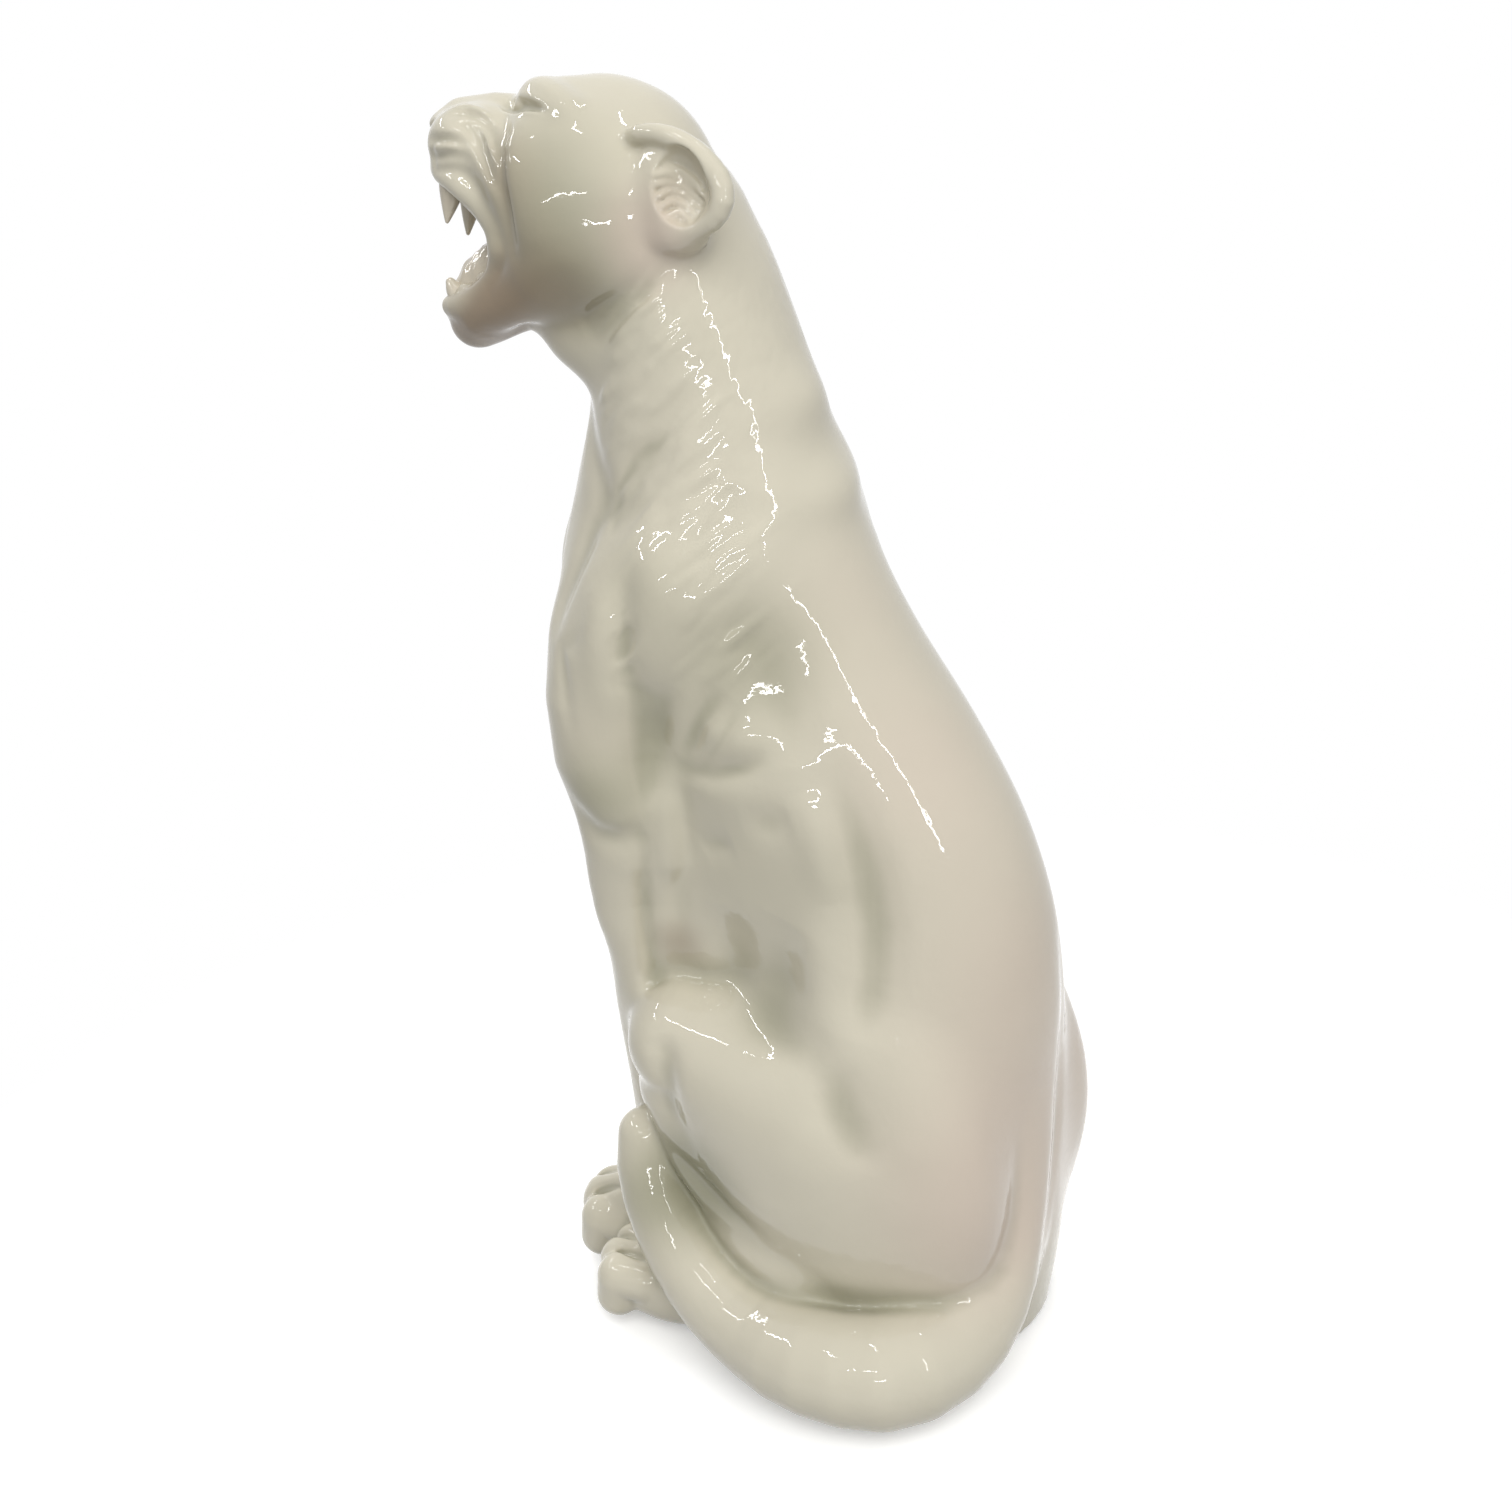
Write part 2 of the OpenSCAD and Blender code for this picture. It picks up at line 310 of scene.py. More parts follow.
def egg(clay, centre, radii, blend, casting=None, turn=NO_TURN, side=1, head=False):
    """An egg-shaped lump, or with no casting an egg-shaped hollow."""
    middle = seat(centre, side, head)
    reach = max(radii) + blend + SPARE_ROOM
    part, points = clay.window(middle - reach, middle + reach)
    if part is None:
        return
    distance = egg_distance(points, middle, radii, seat_turn(turn, side, head))
    if casting is None:
        clay.cut(part, distance, blend)
    else:
        clay.add(part, distance, blend, CASTINGS.index(casting))


def swell(clay, centre, radii, height, side=1, head=False):
    """A soft muscle that lifts the surface by height, or a dimple where height is negative."""
    middle = seat(centre, side, head)
    reach = max(radii) * SWELL_REACH
    part, points = clay.window(middle - reach, middle + reach)
    if part is None:
        return
    q = own_axes(points, middle, seat_turn(NO_TURN, side, head))
    clay.push(part, height * np.exp(-sum((q[i] / radii[i]) ** 2 for i in range(3))))


def crease(clay, path, width, depth, side=1, head=False, rings=0):
    """A line pressed in with a round tool, or raised where depth is negative. Both ends fade out."""
    line = np.array([seat(p, side, head) for p in spread(path, rings)])
    reach = width * TOOL_REACH
    part, points = clay.window(line.min(0) - reach, line.max(0) + reach)
    if part is None:
        return
    near = None
    count = len(line) - 1
    for i, (a, b) in enumerate(zip(line[:-1], line[1:])):
        ba = b - a
        t = sum((points[k] - a[k]) * ba[k] for k in range(3)) / float(ba @ ba)
        t = np.clip(t, 0, 1)
        off2 = sum((points[k] - a[k] - t * ba[k]) ** 2 for k in range(3))
        share = np.clip(TOOL_ENDS + (1 - 2 * TOOL_ENDS) * (i + t) / count, 0, 1)
        one = np.sin(np.pi * share) ** TOOL_FADE * np.exp(-off2 / width**2)
        near = one if near is None else np.maximum(near, one)
    clay.push(part, -depth * near)


print("lumps, hollows, muscles and tool lines are ready")

# %% [markdown]
# ## The trunk and the limbs
# Chest, belly and rump are one egg-like column, given as ellipses at fifteen heights. The limbs are strings
# of balls. The numbers are the statue's own: the back leans, the chest is deep and the rump sits wide on
# the ground.

# %% Trunk
TRUNK_TOP_SMEAR = 14
TRUNK = np.array([
    [0, 158, 0, 84],
    [60, 169, -8, 98],
    [130, 174, -18, 104],
    [200, 177, -34, 102],
    [265, 181, -52, 98],
    [325, 176, -68, 93],
    [385, 158, -94, 92],
    [440, 129, -130, 94],
    [500, 91, -152, 93],
    [555, 65, -152, 86],
    [605, 50, -131, 77],
    [655, 34, -114, 70],
    [700, 20, -112, 67],
    [745, 3, -112, 64],
    [780, -16, -110, 58],
], float)


def trunk(clay, casting):
    """Ellipses at given heights: height, back, front and half width of each."""
    part, points = clay.window(clay.low, clay.low + clay.cell * clay.count)
    heights = np.clip(points[2].ravel(), TRUNK[0, 0], TRUNK[-1, 0])
    back, front, wide = (along(heights, TRUNK[:, 0], TRUNK[:, i]).reshape(1, 1, -1) for i in (1, 2, 3))
    deep = (back - front) / 2
    x, y = points[0], points[1] - (back + front) / 2
    level = np.sqrt((x / wide) ** 2 + (y / deep) ** 2)
    slope = np.sqrt((x / wide**2) ** 2 + (y / deep**2) ** 2)
    distance = level * (level - 1) / np.maximum(slope, 1e-6)
    top = points[2] - TRUNK[-1, 0] + 0 * distance
    clay.add(part, -smooth_min(-distance, -top, TRUNK_TOP_SMEAR), 0, CASTINGS.index(casting))


print("trunk from", TRUNK[0, 0], "to", TRUNK[-1, 0], "mm")

# %% Limbs and tail
ARM = [
    (30, 6, 598, 26), (54, -26, 556, 42), (72, -79, 500, 43), (81, -84, 440, 40), (79, -75, 402, 39),
    (71, -79, 340, 32), (60, -89, 240, 31), (53, -95, 150, 28), (49, -101, 80, 28), (48, -106, 46, 31),
]
FORE_PAW = [(48, -104, 44, 33), (48, -140, 44, 32), (48, -164, 40, 26)]
KNEE = [(94, -49, 234, 37), (87, -6, 220, 42), (80, 40, 192, 46)]
SHANK = [(93, -61, 192, 23), (92, -42, 140, 24), (93, -8, 98, 27), (96, 34, 66, 32)]
HIND = [(98, 46, 38, 32), (98, -20, 36, 29), (98, -76, 35, 29), (98, -106, 32, 25)]
TAIL = [
    (4, 124, 240, 35), (8, 135, 178, 38), (22, 139, 112, 39), (46, 140, 66, 38),
    (86, 136, 44, 38), (132, 114, 42, 39), (145, 64, 41, 36), (136, 12, 42, 31),
    (122, -34, 58, 29), (111, -68, 90, 26), (102, -86, 126, 23), (97, -90, 150, 19),
]
TOES = (-1.5, -0.5, 0.5, 1.5)
TOE_FOLDS = (-1, 0, 1)
TOE_PITCH = 0.95
TOE_CURL = 9


def toes(clay, casting, side, x, y, z, r, rise):
    """Four plump toes side by side, with folds between them and a claw slit in each."""
    def at(i):
        """How far out toe i lies, and how far it stands back from the middle of the paw."""
        return x + i * r * TOE_PITCH, abs(i) * TOE_CURL - 5

    for i in TOES:
        wide, curl = at(i)
        root = (wide - i * 2, y + 20 + curl, z + 2, r * 0.9)
        knuckle = (wide, y + 2 + curl, z + 3, r)
        pad = (wide, y - 2 + curl, z - 14, r * 0.94)
        tube(clay, [root, knuckle, pad], 4, casting, side)
    for i in TOE_FOLDS:
        wide, curl = at(i)
        up = rise - abs(i) * 5
        fold = [(-14, -14), (-10, 4), (6, 0.55 * up + 5), (30, up)]
        crease(clay, [(wide, y + curl + dy, z + dz) for dy, dz in fold], 4, 5, side, rings=9)
    for i in TOES:
        wide, curl = at(i)
        slit = [(wide, y + curl + dy, z + dz) for dy, dz in ((-14, 10), (-17, 2), (-18, -6))]
        crease(clay, slit, 2.4, 3, side)


def body_forms(clay, casting):
    trunk(clay, casting)
    for side in SIDES:
        egg(clay, (50, -40, 318), (34, 38, 70), 24, casting, NO_TURN, side)
        leg = of_side("foreleg", side)
        egg(clay, (51, -62, 512), (50, 64, 84), 24, leg, (-28, 0, 0), side)
        tube(clay, ARM, 22, leg, side, rings=19)
        tube(clay, FORE_PAW, 10, leg, side)
        egg(clay, (50, -138, 24), (32, 36, 21), 14, leg, NO_TURN, side)
        toes(clay, leg, side, 48, -170, 40, 17, 35)
        haunch = of_side("haunch", side)
        egg(clay, (74, 55, 150), (53, 111, 130), 34, haunch, NO_TURN, side)
        egg(clay, (78, 12, 182), (50, 100, 74), 24, haunch, (-36, 0, 0), side)
        tube(clay, KNEE, 20, haunch, side, rings=6)
        tube(clay, SHANK, 16, haunch, side, rings=8)
        foot = of_side("hind_foot", side)
        tube(clay, HIND, 12, foot, side)
        egg(clay, (102, -82, 24), (25, 40, 20), 14, foot, NO_TURN, side)
        toes(clay, foot, side, 98, -120, 37, 17, 23)
    tube(clay, TAIL, 9, "tail", rings=26)


print("tail", len(TAIL), "balls, foreleg", len(ARM), "balls")

# %% [markdown]
# ## Muscles and tool lines
# What makes it a panther is the play of muscle under the glaze: the V of the neck strap, the ball of the
# shoulder, two bundles of the upper arm, the ribs, the hollow before the hip and the crease over the thigh.
# On clay these are pressed in with a loop tool and a thumb, so here they are soft pushes along lines and at
# spots.

# %% Muscles of the body
GROOVES = [
    # neck strap and shoulder
    ([(40, -106, 666), (54, -93, 636), (68, -78, 612), (81, -65, 590)], 12, 4),
    ([(62, -6, 676), (70, -24, 646), (75, -44, 619), (84, -66, 584)], 12, 4),
    ([(71, -71, 613), (75, -84, 588), (84, -91, 567), (93, -101, 543), (104, -105, 516)], 11, 5),
    ([(66, -25, 646), (71, -47, 631), (71, -62, 610), (80, -66, 587)], 5, 2.5),
    ([(105, -40, 566), (110, -43, 533), (111, -48, 500)], 8, 6),
    # upper arm, elbow and foreleg
    ([(110, -46, 512), (105, -42, 490), (101, -44, 458), (102, -46, 425), (106, -50, 395)], 11, 6),
    ([
        (105, -49, 400), (102, -54, 378), (99, -61, 352), (94, -67, 321), (89, -70, 284), (88, -72, 250),
    ], 9, 5),
    ([(100, -22, 497), (96, -34, 470), (94, -43, 447)], 9, 4),
    ([(113, -76, 528), (110, -94, 516), (117, -90, 489), (120, -87, 467)], 6, 2.5),
    ([(118, -98, 414), (117, -79, 394), (115, -64, 390), (106, -48, 396)], 11, 5),
    ([
        (92, -14, 446), (89, -23, 422), (84, -32, 393), (85, -38, 368), (86, -42, 338), (86, -47, 307),
        (86, -57, 275),
    ], 10, 1.5),
    # ribs and the folds behind the elbow
    ([(86, -18, 380), (88, -6, 386), (92, 8, 389)], 11, 3),
    ([(91, 18, 410), (90, 36, 409), (89, 52, 413)], 13, 3),
    ([(88, 22, 484), (93, 9, 462), (94, -9, 440)], 6, 3),
    ([(90, 11, 493), (94, -4, 473), (93, -23, 444)], 8, 5),
    ([(92, -27, 437), (94, -1, 437), (93, 20, 443), (89, 39, 451)], 8, 4),
    # shoulder blade, back and flank
    ([(77, 19, 538), (75, 36, 511), (77, 47, 480), (80, 52, 445)], 22, 7),
    ([(60, 19, 615), (73, 11, 591), (88, 2, 564)], 16, 4),
    ([(76, 74, 455), (78, 88, 407), (81, 97, 375), (83, 102, 342), (88, 101, 309), (100, 93, 268)], 17, 9),
    ([(84, 58, 430), (87, 70, 395), (91, 76, 358)], 15, -4),
    ([(95, 44, 340), (90, 34, 306), (90, 32, 282), (99, 42, 266)], 28, 6),
    ([(90, -4, 340), (84, -9, 306), (86, -6, 278)], 20, 3),
    # thigh, knee and shin
    ([
        (106, -6, 270), (107, 33, 263), (110, 61, 259), (114, 80, 243), (118, 86, 222), (119, 98, 202),
        (112, 122, 186),
    ], 15, 4),
    ([(112, 80, 252), (117, 95, 221), (118, 107, 190)], 30, 5),
    ([(124, -46, 255), (129, -40, 240), (129, -42, 214), (119, -53, 184)], 10, 6),
    ([(112, -67, 164), (117, -49, 151), (119, -30, 136), (121, -11, 123), (123, 14, 115)], 9, 5),
    ([(112, -60, 128), (114, -40, 112), (121, -14, 104), (124, 26, 98)], 11, 3),
    # front of the chest
    ([(30, -128, 600), (46, -136, 560), (64, -128, 510), (70, -118, 470)], 12, 4),
    ([(18, -134, 428), (40, -124, 418), (62, -116, 424)], 11, 4),
]
SPOTS = [
    ((116, -74, 428), (18, 20, 26), 5),
    ((95, -40, 393), (11, 11, 36), 6),
    ((92, 2, 466), (12, 10, 16), 2),
    ((82, -20, 390), (16, 16, 26), 3),
    ((92, 10, 422), (26, 28, 20), 3),
    ((88, -8, 352), (24, 26, 40), 5),
    ((95, 66, 314), (20, 20, 34), 6),
    ((100, -22, 548), (18, 18, 38), 5),
    ((112, -62, 520), (14, 13, 42), 5),
    ((90, 20, 463), (20, 20, 14), 4),
    ((60, 30, 560), (26, 22, 34), 4),
    ((0, 52, 600), (34, 22, 18), 3.5),
    ((0, 36, 655), (32, 22, 18), 3),
    ((103, -94, 330), (20, 24, 46), 9),
]
SINGLE_LINES = [
    ([(86, 166, 62), (54, 168, 94), (45, 171, 125), (38, 172, 180)], 11, 2),
    ([(-26, 176, 290), (-22, 176, 205), (-12, 176, 160), (6, 176, 112), (36, 175, 60)], 10, 3),
    ([(0, -148, 580), (0, -156, 520), (0, -150, 460), (0, -134, 420)], 11, 6),
]


def muscles(clay):
    for side in SIDES:
        for line, width, depth in GROOVES:
            crease(clay, line, width, depth, side)
        for middle, radii, height in SPOTS:
            swell(clay, middle, radii, height, side)
    for line, width, depth in SINGLE_LINES:
        crease(clay, line, width, depth)


print(len(GROOVES), "grooves and", len(SPOTS), "soft spots on each side")

# %% [markdown]
# ## The head
# The skull, brows, cheeks, muzzle and whisker pads are lumps. Then the mouth is carved out, and lips, gums,
# folds behind the pads, eyes, nostrils and ears are set in. The carving comes before the lips, as it does
# in clay, so that their rims stay crisp.

# %% Skull and jaw
def skull(clay):
    egg(clay, (0, -26, 10), (64, 66, 72), 24, "head_casting", head=True)
    egg(clay, (4, -46, -58), (34, 32, 34), 22, "head_casting", head=True)
    tube(clay, [(0, -62, 52, 22), (0, -96, 60, 19), (0, -116, 62, 16)], 14, "head_casting", head=True)
    egg(clay, (0, -128, 62), (15, 10, 9), 5, "head_casting", head=True)
    egg(clay, (0, -40, 55), (38, 34, 25), 16, "head_casting", head=True)
    for side in SIDES:
        egg(clay, (22, -56, 60), (22, 19, 19), 16, "head_casting", NO_TURN, side, True)
        egg(clay, (42, -40, 2), (33, 48, 60), 20, "head_casting", NO_TURN, side, True)
        egg(clay, (19, -106, 48), (22, 26, 23), 10, "head_casting", NO_TURN, side, True)
        tube(clay, [(24, -96, 44, 20), (38, -72, 26, 26)], 14, "head_casting", side, True)
        tube(clay, [(38, -64, -34, 25), (30, -88, -44, 17), (17, -110, -50, 16)], 12, "lower_jaw", side, True)
    chin = [(0, -119, -55, 18), (0, -97, -47, 19), (0, -85, -43, 20), (0, -66, -44, 24)]
    tube(clay, chin, 12, "lower_jaw", head=True)


def mouth(clay):
    egg(clay, (0, -108, -8), (33, 44, 31), 6, head=True)
    egg(clay, (0, -138, -8), (40, 28, 36), 6, head=True)
    for side in SIDES:
        egg(clay, (19, -116, 49), (25, 17, 18), 8, "head_casting", (0, 0, 20), side, True)
        lip = [
            (10, -131, 36, 6), (22, -126, 33, 7), (33, -113, 24, 8),
            (39, -100, 12, 8), (43, -91, -1, 8), (44, -87, -16, 8),
        ]
        tube(clay, lip, 7, "head_casting", side, True, rings=12)
        rim = [
            (0, -133, -46, 6), (14, -131, -46, 6.5), (24, -121, -46, 6.5),
            (31, -108, -40, 6), (37, -95, -30, 7), (42, -88, -16, 8),
        ]
        tube(clay, rim, 6, "lower_jaw", side, True, rings=12)
        gum = [(0, -123, 27, 8), (16, -119, 27, 9), (24, -106, 22, 8), (28, -90, 12, 8)]
        tube(clay, gum, 5, "head_casting", side, True, rings=8)
        floor = [(0, -124, -43, 7), (15, -123, -41, 8), (23, -108, -40, 7), (29, -94, -30, 8)]
        tube(clay, floor, 4, "lower_jaw", side, True, rings=8)
        for k in range(4):
            cheek_tooth = (25 + 1.6 * k, -106 + 7 * k, -33 + 4.5 * k)
            egg(clay, cheek_tooth, (4.5, 5, 6), 3, "lower_jaw", NO_TURN, side, True)


print("skull and mouth lumps are ready")

# %% Folds, eyes and nostrils
FACE_LINES = [
    # folds and ridges behind the whisker pad
    ([
        (37, -113, 64), (36, -105, 65), (40, -95, 61), (45, -89, 55), (52, -85, 46), (57, -84, 37),
        (60, -84, 28),
    ], 3.6, 5),
    ([(30, -116, 69), (33, -105, 69), (39, -94, 64), (46, -86, 56), (54, -82, 46)], 4, -3),
    ([
        (42, -110, 60), (42, -103, 58), (46, -97, 51), (51, -94, 43), (55, -90, 35), (59, -87, 27),
        (62, -83, 19),
    ], 4, 7),
    ([(42, -98, 59), (48, -91, 50), (54, -87, 41), (58, -85, 32)], 3, -2),
    ([(52, -82, 48), (60, -80, 36), (63, -80, 24), (63, -79, 8)], 2.4, 2.5),
    # front edge of the cheek
    ([
        (40, -84, 58), (52, -80, 50), (60, -79, 40), (64, -80, 29), (65, -79, 15), (63, -77, -1),
        (62, -76, -18),
    ], 6, 6),
    ([(49, -66, 58), (60, -69, 46), (66, -69, 30), (69, -65, 8), (69, -60, -14), (67, -54, -34)], 17, -4),
    # eyelids, nose and eye slit
    ([(30, -74, 72), (39, -66, 71), (48, -58, 68), (56, -49, 62)], 3, -2.5),
    ([(30, -81, 64), (42, -72, 61), (51, -62, 60), (58, -54, 58)], 3, -2),
    ([(0, -142, 58), (0, -138, 46), (0, -132, 34)], 2.6, 4),
    ([(5, -139, 60), (10, -137, 58), (15, -131, 63)], 2.6, 4),
    ([(24, -82, 69), (36, -72, 67), (45, -64, 65), (56, -52, 61)], 2.8, 8),
    ([(16, -87, 71), (30, -77, 66), (42, -70, 62), (50, -60, 62)], 3.5, 3),
    # rows and front edge of the whisker pad, and the jaw's lower edge
    ([(30, -131, 52), (36, -125, 51), (43, -114, 50), (47, -103, 47)], 3.2, 3.6),
    ([(27, -134, 43), (32, -128, 42), (42, -116, 41), (48, -103, 38)], 3.2, 3.6),
    ([(26, -132, 34), (38, -120, 33), (47, -108, 31)], 2.8, 1.2),
    ([(38, -46, -63), (49, -27, -57), (58, -9, -51), (64, 5, -43), (70, 17, -33)], 9, 5),
    ([(35, -127, 49), (31, -130, 42), (31, -129, 34)], 2, 2),
]


def face(clay):
    for side in SIDES:
        for line, width, depth in FACE_LINES:
            crease(clay, line, width, depth, side, True, rings=9)
        egg(clay, (27, -71, 66), (9, 6, 5), 2, "head_casting", (0, 0, 35), side, True)
        swell(clay, (60, -52, -54), (28, 34, 24), -6, side, True)
        brow = [(14, -68, 71, 6), (28, -62, 73, 7), (42, -51, 69, 7), (52, -40, 60, 6)]
        tube(clay, brow, 12, "head_casting", side, True, rings=8)


print(len(FACE_LINES), "lines on each side of the face")

# %% [markdown]
# ## Ears
# Each ear is a pressed shell with a thick rolled rim in a C, a bowl, and wavy ridges of fur inside the
# bowl. The right ear lies flatter to the neck than the left one.

# %% Ears
RIM = [
    (42, -16, 33, 3), (53, -6, 39, 4.5), (65, 6, 42, 5.5), (73, 20, 40, 6),
    (79, 34, 33, 6.5), (82, 46, 22, 7), (84, 54, 9, 7), (84, 54, 0, 7),
    (81, 49, -8, 6.5), (76, 40, -13, 6), (69, 30, -15, 6), (60, 21, -16, 5.5),
]
BOWL_RIDGES = [
    [(69, 19, 23), (66, 28, 20), (66, 34, 15), (70, 40, 9)],
    [(72, 13, 18), (68, 21, 19), (65, 28, 15), (67, 36, 10), (76, 44, 3)],
    [(71, 14, 13), (67, 20, 14), (65, 27, 12), (66, 33, 7), (71, 40, 1)],
    [(71, 15, 6), (66, 21, 9), (65, 29, 6), (68, 35, 0), (73, 39, -4)],
    [(71, 16, 0), (66, 23, 3), (67, 30, -1), (72, 36, -7)],
    [(71, 19, -6), (68, 26, -4), (70, 31, -8), (75, 34, -12)],
]
RIDGE_RADII = (2.2, 3.2, 3.3, 2.8, 1.8)
EAR_SHIFT = {1: np.array([0, 0, 0]), -1: np.array([-9, -20, -4])}


def ear(clay, side):
    name = of_side("ear", side)
    shift = EAR_SHIFT[side]

    def moved(path):
        return [tuple(np.array(p[:3]) + shift) + tuple(p[3:]) for p in path]

    egg(clay, moved([(66, 24, 9)])[0], (12, 32, 32), 8, name, (0, 0, -18), side, True)
    egg(clay, moved([(57, 26, -17)])[0], (10, 13, 8), 16, name, (0, 0, -12), side, True)
    tube(clay, moved(RIM), 5, name, side, True, rings=24)
    egg(clay, moved([(82, 28, 10)])[0], (17, 18, 23), 2, None, (0, 0, -18), side, True)
    for ridge in BOWL_RIDGES:
        strand = [(*p, r) for p, r in zip(ridge, RIDGE_RADII)]
        tube(clay, moved(strand), 1, name, side, True, rings=12)


def head_forms(clay):
    skull(clay)
    mouth(clay)
    face(clay)
    for side in SIDES:
        ear(clay, side)


print("ear rim of", len(RIM), "balls and", len(BOWL_RIDGES), "ridges")

# %% [markdown]
# ## Strokes in the fur
# Over the neck and the shoulder the modeller combed short slanting strokes with a toothed tool. Under the
# glaze they show only as small glints. They are real ridges here, drawn on the clay from fixed chance
# numbers.

# %% Fur strokes
STROKE_COUNT = 120
STROKE_WIDTH = 3
STROKE_HEIGHT = 1.2
COMB_LOW, COMB_HIGH = 480, 720


def side_of(clay, y, z):
    """How far out the surface lies at a place seen from the left."""
    j = int(round((y - clay.low[1]) / clay.cell))
    k = int(round((z - clay.low[2]) / clay.cell))
    inside = np.nonzero(clay.far[:, j, k] < 0)[0]
    return clay.axes[0][inside[-1]] if len(inside) else 0


guide = Clay((0, -100, 440), (130, 110, 790), 3)
body_forms(guide, "torso_casting")
chance = np.random.default_rng(41)
STROKES = []
for _ in range(STROKE_COUNT):
    z = chance.uniform(COMB_LOW + 10, COMB_HIGH)
    front, rear = -60 - 0.12 * (z - COMB_LOW), 40 - 0.32 * (z - COMB_LOW)
    y = chance.uniform(front, rear)
    long, lean = chance.uniform(16, 42), chance.uniform(0.6, 0.9)
    ends = [(y + long * t * math.cos(lean), z + long * t * math.sin(lean)) for t in (0, 0.33, 0.67, 1)]
    STROKES.append([(side_of(guide, *e), *e) for e in ends])


def fur(clay):
    for side in SIDES:
        for stroke in STROKES:
            crease(clay, stroke, STROKE_WIDTH, -STROKE_HEIGHT, side)


print(len(STROKES), "strokes on each side")

# %% [markdown]
# ## Modelling in two blocks
# The face needs finer clay than the rump. So the head and the neck are modelled in a small fine block, the
# rest in a large coarse one, both from the same lumps, and the two skins meet on a level cut through the
# neck.

# %% Fill the two blocks
NECK_CUT = 655
SOLE = 5
body_cell = 2.1
head_cell = 1.4
SPARE = 4
body_floors = int((NECK_CUT - 1) / body_cell)
body_low = NECK_CUT - body_floors * body_cell
body_clay = Clay((-180, -214, body_low), (204, 204, NECK_CUT + SPARE * body_cell), body_cell)
head_clay = Clay((-118, -214, NECK_CUT - SPARE * head_cell), (124, 66, 856), head_cell)
for clay, casting in ((body_clay, "torso_casting"), (head_clay, "head_casting")):
    body_forms(clay, casting)
    head_forms(clay)
    muscles(clay)
    fur(clay)
part, points = body_clay.window(body_clay.low, (400, 400, 40))
body_clay.cut(part, points[2] - SOLE + 0 * points[0] + 0 * points[1], 0)
print("body block", body_clay.count, "head block", head_clay.count)

# %% [markdown]
# ## From distances to a skin
# Wherever a cell of the block has clay at one corner and air at another, the surface passes through it. One
# vertex goes into each such cell and neighbouring cells are joined into quads. Then the vertices are evened
# out and drawn back onto the surface, which gives a calm mesh that takes gloss well. Both blocks reach a
# little past the neck cut, so that the skins face the same way there.

# %% Skin of a block
CORNERS = list(np.ndindex(2, 2, 2))


def skin(clay, first=0, last=None):
    """Vertices, quads and a mark on the vertices at an open end; first and last are the levels used."""
    open_low, open_high = first > 0, last is not None
    far = clay.far[:, :, first:last]
    inside = far < 0
    n = np.array(far.shape) - 1
    full = sum(inside[i:n[0] + i, j:n[1] + j, k:n[2] + k].astype(np.int8) for i, j, k in CORNERS)
    cells = np.argwhere((full > 0) & (full < 8))
    number = np.full(full.shape, -1, np.int32)
    number[tuple(cells.T)] = np.arange(len(cells))
    rim = (open_low & (cells[:, 2] == 0)) | (open_high & (cells[:, 2] == n[2] - 1))
    level = 0 if open_low else 1
    value = {c: far[tuple((cells + c).T)] for c in CORNERS}
    total, count = np.zeros((len(cells), 3)), np.zeros(len(cells))
    for a in CORNERS:
        for axis in range(3):
            if a[axis]:
                continue
            b = tuple(1 if i == axis else a[i] for i in range(3))
            crosses = (value[a] < 0) != (value[b] < 0)
            if axis == 2 or a[2] != level:
                crosses &= ~rim
            place = np.tile(np.array(a, float), (crosses.sum(), 1))
            place[:, axis] += value[a][crosses] / (value[a][crosses] - value[b][crosses])
            total[crosses] += place
            count[crosses] += 1
    rim &= count > 0
    lost = count == 0
    total[lost], count[lost] = 0.5, 1
    verts = clay.low + clay.cell * (cells + (0, 0, first) + total / count[:, None])
    quads = []
    for axis in range(3):
        u, w = (axis + 1) % 3, (axis + 2) % 3
        ahead = np.take(inside, range(1, n[axis] + 1), axis)
        behind = np.take(inside, range(n[axis]), axis)
        edge = np.argwhere(ahead != behind)
        edge = edge[(edge[:, u] > 0) & (edge[:, w] > 0) & (edge[:, u] < n[u]) & (edge[:, w] < n[w])]
        corners = []
        for du, dw in ((1, 1), (0, 1), (0, 0), (1, 0)):
            cell = edge.copy()
            cell[:, u] -= du
            cell[:, w] -= dw
            corners.append(number[tuple(cell.T)])
        quad = np.stack(corners, 1)
        flipped = ~behind[tuple(edge.T)]
        quad[flipped] = quad[flipped][:, ::-1]
        quads.append(quad)
    return verts, np.concatenate(quads), rim


# %% Even out the skin and find which way it faces
EASING = 0.6
SLOPE_STEP = 0.6
LEAST_SLOPE = 0.05


def links(quads):
    """Every edge of the quads, both ways."""
    one_way = np.concatenate([quads[:, [i, (i + 1) % 4]] for i in range(4)])
    return np.concatenate([one_way, one_way[:, ::-1]])


def near_mean(values, edges):
    """For each vertex, the mean of a value over its neighbours."""
    start, end = edges.T
    many = np.maximum(np.bincount(start, minlength=len(values)), 1)
    sums = [np.bincount(start, column[end], minlength=len(values)) for column in values.T]
    return np.stack(sums, 1) / many[:, None]


